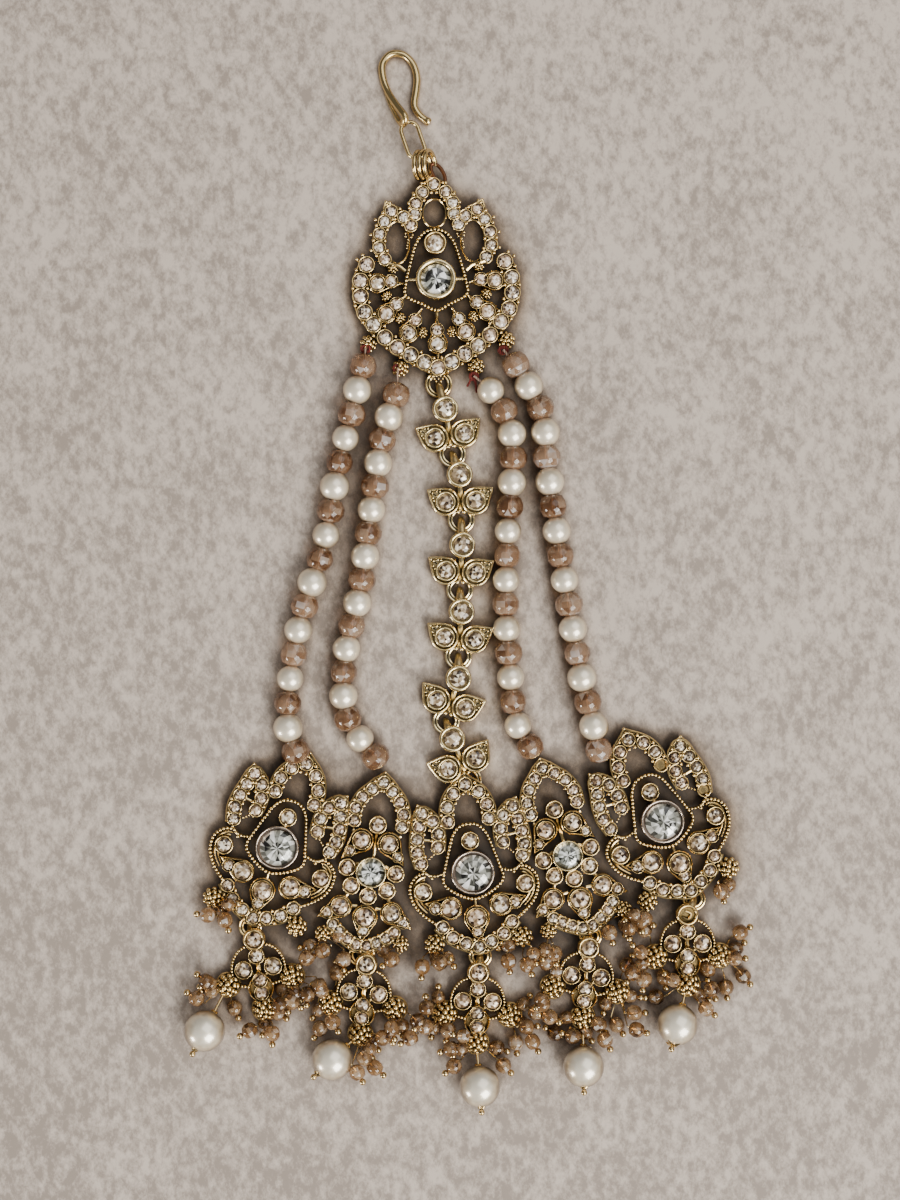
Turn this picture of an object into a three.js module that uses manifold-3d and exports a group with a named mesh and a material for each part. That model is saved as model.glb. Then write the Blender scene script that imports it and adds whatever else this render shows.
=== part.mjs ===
// A jhoomar: a side head-jewel of cast, pierced metal set with stones. It lies flat on its back, with its
// hook at the +Y end and its five drops at the -Y end. A top medallion carries a chain of six links and
// four strings of beads, which hold up a row of five lower medallions. Millimetres, +Z up.
import * as THREE from 'three';
import { mergeVertices } from 'three/addons/utils/BufferGeometryUtils.js';
import Module from 'manifold-3d';

const wasm = await Module();
wasm.setup();

// ---- driving dimensions ------------------------------------------------------------------------

const CLEARANCE = 0.3;          // between one piece and the next
const PLATE = 1.5;              // thickness of the cast strips, frames and leaves
const BEZEL = 3.4;              // height of a main stone's collar
const CUP_FLOOR = 1.5;          // floor inside that collar
const GRAIN = 2.7;              // height of a flower of grains
const ROPE_WIDTH = 0.85;        // width of a rope-edged strip
const RING_WIRE = 0.8;          // width and height of a cast ring
const OVER_RING = RING_WIRE + CLEARANCE + 0.1;      // where a round setting above a ring starts
const ROUND_TOP = 2.7;          // top of the round setting over a ring
const GEM_RISE = 0.7;           // how far a small stone stands above its setting
const TAB_WIDTH = 1.2;          // a tab that hooks into the ring of the piece above
const TAB_THICKNESS = 0.5;

const LINK_HEAD = 2.1;          // radius of a chain link's round setting
const LINK_RING = [0, -7.2, 2.2];       // ring of a chain link: x, y, outer radius
const HOOKED_PEG = 0.6;         // radius of the peg that the last link's ring lies around

const PEARL = 2.1;              // radius of a strand pearl
const CRYSTAL = 2.05;           // radius of a strand crystal
const CRYSTAL_HALF = 1.85;      // half its length along the thread
const BEAD_SINK = 0.35;         // how far neighbouring beads nest into each other's holes
const BEADS_PER_STRETCH = 3;
const THREAD = 0.4;             // radius of the knotted thread at a strand's ends
const SMALL_BEAD = 1.35;        // radius of the small crystal beads on the drops
const SMALL_BEAD_HALF = 2.1;    // half its length with its pin
const SMALL_BEAD_START = 0.5;   // where it leaves its flower, from the flower's middle
const DROP_PEARL = 3.3;         // radius of the big pearls
const PIN_LEVEL = 0.9;          // height at which a head pin meets its flower
const PIN = 0.35;               // radius of their head pins
const PIN_BALL = 0.55;          // radius of the ball at a head pin's end
const PIN_BALL_GAP = 0.7;       // from the pearl to the middle of that ball

const HOOK_WIRE = 0.48;         // radius
const LINK_WIRE = 0.28;
const COIL_WIRE = 0.27;
const COIL_RADIUS = 1.75;
const COIL_PITCH = 0.66;
const COIL_TURNS = 3;
const COIL_STEPS = 9;           // straight runs in each of its turns
const EYE_WIRE = 0.27;
const EYE_RADIUS = 1.9;
const WIRE_LEVEL = 2.1;         // height of the coil's axis

// ---- materials ---------------------------------------------------------------------------------

function finish(color, roughness, metalness) {
  return new THREE.MeshStandardMaterial({ color, roughness, metalness });
}

const finishes = {
  gold: () => finish(0xa98a4e, 0.38, 1.0),
  darkGold: () => finish(0x8a6f3e, 0.45, 1.0),
  stone: () => finish(0xe4dccf, 0.05, 0.0),
  pearl: () => finish(0xe9e2d6, 0.25, 0.0),
  beads: () => finish(0xc9ab93, 0.2, 0.0),
};

// ---- solids ------------------------------------------------------------------------------------

// A closed three.js geometry as a solid that can be joined and cut.
function solid(geometry) {
  const bare = geometry.clone();
  bare.deleteAttribute('normal');
  bare.deleteAttribute('uv');
  const merged = mergeVertices(bare, 1e-5);
  const mesh = new wasm.Mesh({
    numProp: 3,
    vertProperties: new Float32Array(merged.attributes.position.array),
    triVerts: new Uint32Array(merged.index.array),
  });
  return new wasm.Manifold(mesh);
}

// A joined solid back as a three.js geometry.
function geometryOf(manifold) {
  const { vertProperties, triVerts } = manifold.getMesh();
  const geometry = new THREE.BufferGeometry();
  geometry.setAttribute('position', new THREE.BufferAttribute(vertProperties, 3));
  geometry.setIndex(new THREE.BufferAttribute(triVerts, 1));
  geometry.computeVertexNormals();
  return geometry;
}

// One solid from many. Flat faces that have grown together become one face.
function joined(solids) {
  return solids.reduce((whole, next) => whole.add(next)).asOriginal().simplify();
}

// A flat outline, raised from z = bottom to z = top.
function raised(shape, bottom, top) {
  const options = { depth: top - bottom, bevelEnabled: false };
  return solid(new THREE.ExtrudeGeometry(shape, options).translate(0, 0, bottom));
}

// A round, upright solid from a profile of [radius, z] points that starts and ends on the axis.
function turned(profile, x, y, sides) {
  const points = profile.map(([r, z]) => new THREE.Vector2(r, z));
  return solid(new THREE.LatheGeometry(points, sides).rotateX(Math.PI / 2).translate(x, y, 0));
}

// A cast ring that lies flat.
function ring(x, y, outer) {
  const inner = outer - RING_WIRE;
  const profile = [[inner, 0], [outer, 0], [outer, RING_WIRE], [inner, RING_WIRE], [inner, 0]];
  return turned(profile, x, y, 7);
}

// A round wire along a path.
function wire(path, radius, steps, sides = 6) {
  const section = new THREE.Shape();
  section.absarc(0, 0, radius, 0, 2 * Math.PI, false);
  const options = { steps, extrudePath: path, bevelEnabled: false, curveSegments: sides / 2 };
  return solid(new THREE.ExtrudeGeometry(section, options));
}

// ---- flat work ---------------------------------------------------------------------------------

// The points that lie beside a row of points, a given distance to its left, with mitred corners.
function beside(points, distance, closed) {
  const count = points.length;
  return points.map(([x, y], i) => {
    const before = points[closed ? (i + count - 1) % count : Math.max(i - 1, 0)];
    const after = points[closed ? (i + 1) % count : Math.min(i + 1, count - 1)];
    const into = new THREE.Vector2(x - before[0], y - before[1]).normalize();
    const out = new THREE.Vector2(after[0] - x, after[1] - y).normalize();
    const along = into.add(out).normalize();
    const step = out.lengthSq() > 0 ? out : along;
    const miter = distance / Math.max(along.dot(step), 0.5);
    return new THREE.Vector2(x - along.y * miter, y + along.x * miter);
  });
}

// A flat strip of one width that follows a row of points.
function strip(points, width, top) {
  const left = beside(points, width / 2, false);
  const right = beside(points, -width / 2, false);
  return raised(new THREE.Shape([...right, ...left.reverse()]), 0, top);
}

// A frame of one width round a closed row of points, given anticlockwise.
function frame(points, width, top) {
  const shape = new THREE.Shape(beside(points, -width / 2, true));
  shape.holes.push(new THREE.Path(beside(points, width / 2, true)));
  return raised(shape, 0, top);
}

// A leaf: a round end about a stone, drawn out with full sides to a pointed tip.
function leaf(tip, stone, radius) {
  const reach = Math.hypot(tip[0] - stone[0], tip[1] - stone[1]);
  const aim = Math.atan2(tip[1] - stone[1], tip[0] - stone[0]);
  const corners = [[reach, 0], [reach * 0.55, radius * 0.7]];
  for (const degrees of [75, 140, 220, 285]) {
    const angle = THREE.MathUtils.degToRad(degrees);
    corners.push([radius * Math.cos(angle), radius * Math.sin(angle)]);
  }
  corners.push([reach * 0.55, -radius * 0.7]);
  const shape = new THREE.Shape(corners.map(([x, y]) => new THREE.Vector2(x, y)));
  const options = { depth: PLATE, bevelEnabled: false };
  return solid(new THREE.ExtrudeGeometry(shape, options).rotateZ(aim).translate(stone[0], stone[1], 0));
}

function disc(x, y, radius, bottom, top, sides = 6) {
  return turned([[0, bottom], [radius, bottom], [radius, top], [0, top]], x, y, sides);
}

// A flower of grains: a low dome with few sides.
function flower(x, y, radius) {
  return turned([[0, 0], [radius, 0], [0, GRAIN]], x, y, 6);
}

// A small stone in its setting: a low pyramid.
function gem(x, y, radius, seat) {
  const sunk = seat - 0.1;
  return turned([[0, sunk], [radius, sunk], [0, seat + GEM_RISE]], x, y, 4);
}

// A round setting with its stone.
function round(x, y, radius, bottom, top) {
  return disc(x, y, radius, bottom, top).add(gem(x, y, radius * 0.75, top));
}

// The collar of a main stone: a round cup with a floor.
function cup(radius, stoneRadius) {
  const inner = stoneRadius + CLEARANCE;
  const profile = [[0, 0], [radius, 0], [radius, BEZEL], [inner, BEZEL], [inner, CUP_FLOOR], [0, CUP_FLOOR]];
  return turned(profile, 0, 0, 10);
}

// A main stone: a girdle, a sloping crown and a flat table.
function mainStone(radius) {
  const seat = CUP_FLOOR + CLEARANCE;
  const crown = BEZEL + GEM_RISE;
  const profile = [[0, seat], [radius, BEZEL - 0.4], [radius * 0.58, crown], [0, crown]];
  return turned(profile, 0, 0, 10);
}

function mirror([x, y]) {
  return [-x, y];
}

// Half a row of points, from its middle outwards, carried on over both sides.
function bothSides(half) {
  const [middle, ...rest] = half;
  const start = middle[0] === 0 ? [middle] : [mirror(middle), middle];
  return [...rest.map(mirror).reverse(), ...start, ...rest];
}

// Every item of a list of places, once on each side of the centre line.
function pairs(places) {
  return places.flatMap((place) => (place[0] === 0 ? [place] : [place, [-place[0], ...place.slice(1)]]));
}

// ---- medallions --------------------------------------------------------------------------------

// Each medallion is laid out about its main stone, with its top petal towards +Y. Places are [x, y];
// those off the centre line stand for both sides. rows: strips of small stones, over: with both halves
// in one strip. leaves: [tip x, tip y, stone x, stone y, radius]. The others, each: [x, y, radius].

const topMedallion = {
  collar: 3.26,
  stone: 2.4,
  bell: [[0, -5.0], [4.9, -2.3], [4.0, 2.9], [2.9, 6.1]],
  bellTip: [0, 8.1],
  rowWidth: 2.1,
  overRows: [
    [[0, -14.1], [4.6, -12.1], [9.0, -8.8], [11.9, -4.6], [12.3, 0], [11.0, 3.2], [9.4, 4.6]],
    [[0, 15.5], [2.6, 13.3], [3.2, 10.2], [1.6, 7.6]],
  ],
  rows: [
    [[3.6, 4.3], [4.0, 8.6], [5.0, 10.3], [7.0, 11.4], [8.8, 8.6], [8.9, 5.0], [7.4, 2.9], [4.8, 1.8]],
  ],
  ropes: [
    [[2.9, 0], [4.6, 0]],
    [[9.6, -8.2], [11.1, -9.9]],
    [[5.2, -11.6], [6.2, -13.7]],
  ],
  leaves: [
    [4.2, -0.6, 9.7, -0.4, 1.75],
    [4.2, -2.4, 8.3, -5.6, 1.7],
    [2.0, -3.7, 4.6, -8.6, 1.6],
    [0, -4.8, 0, -10.3, 1.6],
  ],
  rounds: [[0, 5.8, 1.75]],
  grains: [[7.6, -2.9, 1.5], [5.6, -6.6, 1.5], [2.3, -8.0, 1.5]],
  flowers: [[11.1, -9.9, 1.3], [6.2, -13.7, 1.3]],
  ring: [0, -16.7, 2.2],
  eye: [-0.6, 16.7],
};

const bigMedallion = {
  collar: 3.45,
  stone: 2.85,
  bell: [[0, -4.1], [4.7, -1.6], [3.8, 3.0], [2.7, 6.1]],
  bellTip: [0, 7.6],
  rowWidth: 1.9,
  overRows: [
    [[0, -12.1], [3.2, -11.1], [5.8, -8.6]],
    [[0, 14.2], [2.5, 12.3], [3.4, 9.0], [2.0, 6.5]],
  ],
  rows: [
    [[4.2, 1.2], [5.2, 3.8], [5.1, 6.8], [5.9, 8.9], [7.5, 9.9], [8.5, 6.2], [8.2, 1.2], [4.6, -0.5]],
  ],
  ropes: [
    [[8.0, 0.8], [9.7, -0.7], [10.2, -3.3], [8.8, -6.2], [5.6, -8.8]],
    [[1.4, -9.0], [3.9, -9.9], [7.0, -10.9]],
  ],
  leaves: [
    [0, -11.8, 0, -6.8, 2.35],
    [9.0, -5.8, 4.0, -5.4, 2.1],
  ],
  rounds: [[0, 4.9, 1.75], [8.3, -2.5, 1.75]],
  grains: [[2.2, -4.9, 1.3]],
  flowers: [[7.0, -10.9, 1.5]],
  ring: [0, -13.7, 1.9],
};

const smallMedallion = {
  collar: 2.7,
  stone: 2.1,
  bell: null,
  bellTip: null,
  rowWidth: 1.8,
  overRows: [
    [[0, -12.1], [2.7, -11.1], [5.0, -8.6]],
    [[0, 14.5], [2.8, 12.4], [3.9, 9.9], [3.2, 5.8]],
  ],
  rows: [],
  ropes: [
    [[4.2, -7.4], [4.8, -9.0], [6.2, -10.8]],
  ],
  leaves: [
    [5.0, 1.4, 2.4, 4.6, 2.0],
    [7.6, -8.3, 4.2, -6.1, 2.0],
    [0, -11.6, 0, -7.2, 2.2],
  ],
  rounds: [[0, 7.4, 1.7], [3.9, 0.2, 1.6], [2.9, -2.7, 1.6], [0, -3.9, 1.7]],
  grains: [[2.2, -5.2, 1.3], [0.9, 3.1, 1.1], [1.3, 5.8, 1.2]],
  flowers: [[6.2, -10.8, 1.3]],
  ring: [0, -13.6, 1.9],
};

// A flat tab that lies over the ring above and dips into its hole, in the direction of the ring's centre.
function tab(toward) {
  const reach = Math.hypot(...toward);
  const lip = TAB_THICKNESS;
  const side = new THREE.Shape();
  side.moveTo(0, OVER_RING);
  side.lineTo(reach - lip, OVER_RING);
  side.lineTo(reach - lip, CLEARANCE);
  side.lineTo(reach, CLEARANCE);
  side.lineTo(reach, OVER_RING + TAB_THICKNESS);
  side.lineTo(0, OVER_RING + TAB_THICKNESS);
  const options = { depth: TAB_WIDTH, bevelEnabled: false };
  const strap = new THREE.ExtrudeGeometry(side, options).translate(0, 0, -TAB_WIDTH / 2);
  strap.rotateX(Math.PI / 2).rotateZ(Math.atan2(toward[1], toward[0]));
  return solid(strap);
}

// Both sides of a row that lies off the centre line, or the row itself where it lies on it.
function sidesOf(row) {
  return row.every(([x]) => x === 0) ? [row] : [row, row.map(mirror)];
}

function leavesOf(design) {
  const parts = [];
  for (const [tipX, tipY, x, y, radius] of design.leaves) {
    for (const side of x === 0 ? [1] : [1, -1]) {
      parts.push(leaf([side * tipX, tipY], [side * x, y], radius));
      parts.push(gem(side * x, y, radius * 0.7, PLATE));
    }
  }
  return parts;
}

function medallion(design) {
  const parts = [cup(design.collar, design.stone), ring(...design.ring)];
  if (design.bell) {
    parts.push(frame([...bothSides(design.bell), design.bellTip], ROPE_WIDTH, PLATE));
  }
  for (const half of design.overRows) {
    parts.push(strip(bothSides(half), design.rowWidth, PLATE));
  }
  for (const row of design.rows.flatMap(sidesOf)) {
    parts.push(strip(row, design.rowWidth, PLATE));
  }
  for (const rope of design.ropes.flatMap(sidesOf)) {
    parts.push(strip(rope, ROPE_WIDTH, PLATE));
  }
  parts.push(...leavesOf(design));
  parts.push(...pairs(design.rounds).map(([x, y, radius]) => round(x, y, radius, 0, PLATE)));
  parts.push(...pairs(design.grains).map(([x, y, radius]) => disc(x, y, radius, 0, PLATE, 5)));
  parts.push(...pairs(design.flowers).map((place) => flower(...place)));
  if (design.eye) {
    const eye = new THREE.TorusGeometry(EYE_RADIUS, EYE_WIRE, 5, 12);
    parts.push(solid(eye.translate(...design.eye, PLATE)));
  }
  return joined(parts);
}

// ---- chain links and drops ---------------------------------------------------------------------

const linkDesign = {
  leaves: [[5.25, -2.4, 2.5, -4.25, 1.9]],
  spine: [[0, 0], [0, -5.4]],
  spineWidth: 1.5,
};

// A chain link: a round setting over the ring above, two leaves, and a ring of its own.
function chainLink(toward) {
  return joined([
    round(0, 0, LINK_HEAD, OVER_RING, ROUND_TOP),
    strip(linkDesign.spine, linkDesign.spineWidth, PLATE),
    ring(...LINK_RING),
    tab(toward),
    ...leavesOf(linkDesign),
  ]);
}

const dropDesign = {
  head: 1.73,
  kite: [[0, -0.85], [-3.4, -4.8], [0, -8.4], [3.4, -4.8]],
  scallop: [[0.5, -1.3], [3.0, -1.7], [4.4, -4.2], [5.2, -6.8]],
  leaves: [[0, -10.6, 0, -8.0, 1.95]],
  rounds: [[0, -2.65, 1.3], [2.45, -4.6, 1.3]],
  flowers: { left: [-5.2, -6.8], right: [5.2, -6.8], bottom: [0, -11.3] },
  flowerRadius: 1.65,
};

// A small crystal bead on its pin, reaching out of a flower in one direction.
function smallBead([x, y], degrees) {
  const profile = [[0, -SMALL_BEAD_HALF], [SMALL_BEAD, 0], [0, SMALL_BEAD_HALF]];
  const points = profile.map(([r, along]) => new THREE.Vector2(r, along));
  const bead = new THREE.LatheGeometry(points, 4).rotateZ(-Math.PI / 2);
  bead.translate(SMALL_BEAD_START + SMALL_BEAD_HALF, 0, 0);
  bead.rotateZ(THREE.MathUtils.degToRad(degrees)).translate(x, y, SMALL_BEAD);
  return solid(bead);
}

// A cast drop: a head over the ring above, a kite of small settings, scalloped sides and three flowers.
function drop(toward, beads) {
  const { head, kite, scallop, rounds, flowers, flowerRadius } = dropDesign;
  const kiteShape = new THREE.Shape(kite.map(([x, y]) => new THREE.Vector2(x, y)));
  return joined([
    round(0, 0, head, OVER_RING, ROUND_TOP),
    raised(kiteShape, 0, PLATE),
    tab(toward),
    ...sidesOf(scallop).map((side) => strip(side, ROPE_WIDTH, PLATE)),
    ...leavesOf(dropDesign),
    ...pairs(rounds).map(([x, y, radius]) => round(x, y, radius, 0, PLATE)),
    ...Object.values(flowers).map(([x, y]) => flower(x, y, flowerRadius)),
    ...Object.entries(beads).flatMap(([name, angles]) => angles.map((a) => smallBead(flowers[name], a))),
  ]);
}

// A big pearl on its head pin, which slopes down to the flower that it hangs from. The pin's ball end
// points away from the flower.
function dropPearl(toward) {
  const distance = Math.hypot(...toward, DROP_PEARL - PIN_LEVEL);
  const pinEnd = Math.max(distance - dropDesign.flowerRadius - CLEARANCE / 2, DROP_PEARL + PIN);
  const ball = DROP_PEARL + PIN_BALL_GAP;
  const profile = [[0, -ball - PIN_BALL], [PIN_BALL, -ball], [PIN, -DROP_PEARL + 0.1]];
  for (const degrees of [45, 90, 135]) {
    const angle = THREE.MathUtils.degToRad(degrees);
    profile.push([DROP_PEARL * Math.sin(angle), -DROP_PEARL * Math.cos(angle)]);
  }
  profile.push([PIN, DROP_PEARL - 0.1], [PIN, pinEnd], [0, pinEnd]);
  const points = profile.map(([r, along]) => new THREE.Vector2(r, along));
  const shape = new THREE.LatheGeometry(points, 7);
  const aim = new THREE.Vector3(...toward, PIN_LEVEL - DROP_PEARL).normalize();
  const turn = new THREE.Quaternion().setFromUnitVectors(new THREE.Vector3(0, 1, 0), aim);
  return solid(shape.applyQuaternion(turn).translate(0, 0, DROP_PEARL));
}

// ---- strands -----------------------------------------------------------------------------------

// A bead about a point of the thread, with its hole along the thread.
function bead(kind, at, along) {
  const crystal = [[0, -CRYSTAL_HALF], [CRYSTAL, -CRYSTAL_HALF * 0.4], [CRYSTAL, CRYSTAL_HALF * 0.4],
    [0, CRYSTAL_HALF]].map(([r, y]) => new THREE.Vector2(r, y));
  const shape = kind === 'pearl' ? new THREE.SphereGeometry(PEARL, 6, 4) : new THREE.LatheGeometry(crystal, 5);
  const turn = new THREE.Quaternion().setFromUnitVectors(new THREE.Vector3(0, 1, 0), along);
  return solid(shape.applyQuaternion(turn).translate(at.x, at.y, at.z));
}

function threadEnd(from, to) {
  const path = new THREE.LineCurve3(from, to);
  return wire(path, THREAD, 1, 4);
}

// The stretches of one strand, each a solid of a few beads that touch along their thread.
function strandStretches({ route, beads, first, knot }) {
  const curve = new THREE.CatmullRomCurve3(route.map(([x, y]) => new THREE.Vector3(x, y, PEARL + 0.05)));
  const length = curve.getLength();
  const touching = PEARL + CRYSTAL_HALF - BEAD_SINK;
  const apart = PEARL + CRYSTAL_HALF + CLEARANCE;
  const stretches = [];
  let run = 0;
  for (let i = 0; i < beads; i += 1) {
    const startsStretch = i % BEADS_PER_STRETCH === 0;
    if (i > 0) {
      run += startsStretch ? apart : touching;
    }
    const kind = (i % 2 === 0) === (first === 'crystal') ? 'crystal' : 'pearl';
    const at = curve.getPointAt(Math.min(run / length, 1));
    const along = curve.getTangentAt(Math.min(run / length, 1));
    const next = bead(kind, at, along);
    if (startsStretch) {
      stretches.push(next);
    } else {
      stretches.push(stretches.pop().add(next));
    }
    if (i === 0) {
      stretches[0] = stretches[0].add(threadEnd(at, new THREE.Vector3(...knot, at.z)));
    }
  }
  return stretches;
}

// ---- hook, link and coil -----------------------------------------------------------------------

// The hook is one bent wire: a free end, a pear-shaped loop, and a curl about the link. [x, y, z]
const hookPath = [
  [3.0, 0.1, 0.8], [1.4, 1.3, 0.8], [0.9, 2.8, 0.7], [1.1, 5.2, 0.6], [1.3, 7.4, 0.6], [0.3, 9.7, 0.6],
  [-2.3, 11.1, 0.6], [-4.1, 9.2, 0.6], [-3.8, 6.6, 0.6], [-2.4, 4.1, 1.2], [-0.9, 1.8, 2.5],
  [0.1, 0.5, 3.25], [0.9, -1.75, 2.1], [0.3, -0.2, 0.9],
];

function smooth(points, closed = false) {
  return new THREE.CatmullRomCurve3(points.map((p) => new THREE.Vector3(...p)), closed);
}

function hook() {
  return wire(smooth(hookPath), HOOK_WIRE, 24);
}

// An oval wire link that lies flat, long in y.
function hookLink() {
  const [halfWidth, halfLength] = [1.6, 2.9];
  const straight = halfLength - halfWidth;
  const corners = [];
  for (let step = 0; step <= 6; step += 1) {
    const angle = (step / 6) * Math.PI;
    corners.push([halfWidth * Math.cos(angle), straight + halfWidth * Math.sin(angle), 0]);
  }
  const lower = corners.map(([x, y, z]) => [-x, -y, z]);
  return wire(smooth([...corners, ...lower], true), LINK_WIRE, 12);
}

// A helix of three turns about the x axis.
function coil() {
  const points = [];
  const steps = COIL_TURNS * COIL_STEPS;
  for (let step = 0; step <= steps; step += 1) {
    const turns = step / COIL_STEPS;
    const angle = turns * 2 * Math.PI;
    const x = (turns - COIL_TURNS / 2) * COIL_PITCH;
    points.push([x, COIL_RADIUS * Math.sin(angle), COIL_RADIUS * Math.cos(angle)]);
  }
  return wire(smooth(points), COIL_WIRE, steps, 4);
}

// ---- layout ------------------------------------------------------------------------------------

// Places in the layout are [x, y] from the middle stone of the centre medallion. turn: degrees, anticlockwise.
const topAt = { at: [-5.9, 95.1], turn: 1.4 };

const medallions = [
  { name: 'left_outer', design: bigMedallion, at: [-31.35, 4.0], turn: -18 },
  { name: 'left_inner', design: smallMedallion, at: [-16.3, 0.0], turn: -8 },
  { name: 'centre', design: bigMedallion, at: [0, 0], turn: 4.5 },
  { name: 'right_inner', design: smallMedallion, at: [15.2, 2.7], turn: 16 },
  { name: 'right_outer', design: bigMedallion, at: [30.4, 8.3], turn: 20 },
];

const links = [
  { at: [-4.4, 74.3], turn: 9 },
  { at: [-2.1, 63.8], turn: 2 },
  { at: [-1.7, 52.5], turn: -3 },
  { at: [-1.8, 41.8], turn: -4 },
  { at: [-2.3, 31.1], turn: -16 },
  { at: [-3.3, 21.4], turn: 21 },
];

const drops = [
  { name: 'left_outer', at: [-35.1, -10.8], turn: 8, pearl: [-42.9, -25.2], from: 'left',
    beads: { left: [140, 185], right: [-105], bottom: [-125, -60] } },
  { name: 'left_inner', at: [-17.1, -14.8], turn: -5, pearl: [-22.5, -29.8], from: 'bottom',
    beads: { left: [190, 245], right: [-40], bottom: [-70] } },
  { name: 'centre', at: [0.9, -16.1], turn: -1.5, pearl: [1.1, -34.1], from: 'bottom',
    beads: { left: [170, 230], right: [-60, 0], bottom: [190, -10] } },
  { name: 'right_inner', at: [18.6, -12.1], turn: -4.6, pearl: [17.7, -30.9], from: 'bottom',
    beads: { left: [180, 262], right: [-60, 0], bottom: [195, -15] } },
  { name: 'right_outer', at: [34.4, -6.8], turn: 1, pearl: [32.7, -24.2], from: 'bottom',
    beads: { left: [200], right: [-80, -10], bottom: [190, 0] } },
];

const strands = [
  { name: 'outer_left', beads: 17, first: 'crystal', knot: [-17.0, 83.5],
    route: [[-17.6, 81.2], [-19.7, 72.5], [-21.6, 64.8], [-23.8, 53.1], [-28.1, 38.4], [-29.7, 23.8],
      [-28.4, 19.4]] },
  { name: 'inner_left', beads: 17, first: 'crystal', knot: [-11.8, 80.4],
    route: [[-12.3, 76.6], [-14.5, 69.4], [-16.3, 57.9], [-17.9, 46.4], [-20.7, 32.5], [-20.0, 24.4],
      [-15.6, 18.6]] },
  { name: 'inner_right', beads: 16, first: 'pearl', knot: [1.2, 79.9],
    route: [[2.9, 77.3], [6.1, 71.4], [5.6, 53.7], [5.3, 42.7], [5.8, 34.7], [7.1, 24.0], [9.2, 20.2]] },
  { name: 'outer_right', beads: 17, first: 'crystal', knot: [5.7, 84.2],
    route: [[6.9, 81.4], [11.1, 73.7], [11.9, 65.9], [13.6, 53.7], [15.4, 42.9], [17.5, 31.2], [19.4, 23.5],
      [20.2, 19.6]] },
];

const fittings = {
  hook: { at: [-10.3, 120.3, 0], turn: 0 },
  link: { at: [-9.0, 117.1, WIRE_LEVEL], turn: 18 },
  coil: { at: [-7.75, 113.95, WIRE_LEVEL], turn: 20 },
};

const jhoomar = new THREE.Group();

function place(name, geometry, material, at, turn = 0) {
  const mesh = new THREE.Mesh(geometry, material);
  mesh.name = name;
  mesh.position.set(at[0], at[1], at[2] ?? 0);
  mesh.rotation.z = THREE.MathUtils.degToRad(turn);
  jhoomar.add(mesh);
  return mesh;
}

// A point given in the layout, seen from a piece's own axes.
function seenFrom({ at, turn }, point) {
  const angle = THREE.MathUtils.degToRad(-turn);
  const offset = new THREE.Vector2(point[0] - at[0], point[1] - at[1]).rotateAround(new THREE.Vector2(), angle);
  return offset.toArray();
}

// A point of a piece's own axes, given in the layout.
function inLayout({ at, turn }, [x, y]) {
  const angle = THREE.MathUtils.degToRad(turn);
  const point = new THREE.Vector2(x, y).rotateAround(new THREE.Vector2(), angle);
  return [at[0] + point.x, at[1] + point.y];
}

place('hook', geometryOf(hook()), finishes.gold(), fittings.hook.at, fittings.hook.turn);
place('hook_link', geometryOf(hookLink()), finishes.gold(), fittings.link.at, fittings.link.turn);
place('coil_ring', geometryOf(coil()), finishes.gold(), fittings.coil.at, fittings.coil.turn);

place('top_medallion', geometryOf(medallion(topMedallion)), finishes.darkGold(), topAt.at, topAt.turn);
place('top_stone', geometryOf(mainStone(topMedallion.stone)), finishes.stone(), topAt.at, topAt.turn);

// Each chain link hooks into the ring above: the top medallion's, then that of the link before it.
let ringAbove = inLayout(topAt, topMedallion.ring);
links.forEach((link, i) => {
  const geometry = geometryOf(chainLink(seenFrom(link, ringAbove)));
  place(`chain_link_${i + 1}`, geometry, finishes.gold(), link.at, link.turn);
  ringAbove = inLayout(link, LINK_RING);
});

for (const spot of medallions) {
  let body = medallion(spot.design);
  if (spot.name === 'centre') {
    const toward = seenFrom(spot, ringAbove);
    const room = disc(...toward, LINK_RING[2] + 2 * CLEARANCE, -1, OVER_RING, 8);
    body = body.subtract(room).add(disc(...toward, HOOKED_PEG, CLEARANCE, PLATE));
  }
  place(`medallion_${spot.name}`, geometryOf(body), finishes.darkGold(), spot.at, spot.turn);
  place(`stone_${spot.name}`, geometryOf(mainStone(spot.design.stone)), finishes.stone(), spot.at, spot.turn);
}

drops.forEach((spot, i) => {
  const ringPlace = inLayout(medallions[i], medallions[i].design.ring);
  const body = drop(seenFrom(spot, ringPlace), spot.beads);
  place(`drop_${spot.name}`, geometryOf(body), finishes.darkGold(), spot.at, spot.turn);
  const flowerPlace = inLayout(spot, dropDesign.flowers[spot.from]);
  const toward = [flowerPlace[0] - spot.pearl[0], flowerPlace[1] - spot.pearl[1]];
  place(`pearl_${spot.name}`, geometryOf(dropPearl(toward)), finishes.pearl(), spot.pearl);
});

for (const strand of strands) {
  strandStretches(strand).forEach((stretch, i) => {
    place(`strand_${strand.name}_${i + 1}`, geometryOf(stretch), finishes.beads(), [0, 0]);
  });
}

// The origin lies at the middle of the footprint, on the surface that the jewel rests on.
const box = new THREE.Box3().setFromObject(jhoomar);
const centre = box.getCenter(new THREE.Vector3());
jhoomar.position.set(-centre.x, -centre.y, -box.min.z);

export default jhoomar;
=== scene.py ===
import math
import random

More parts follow.
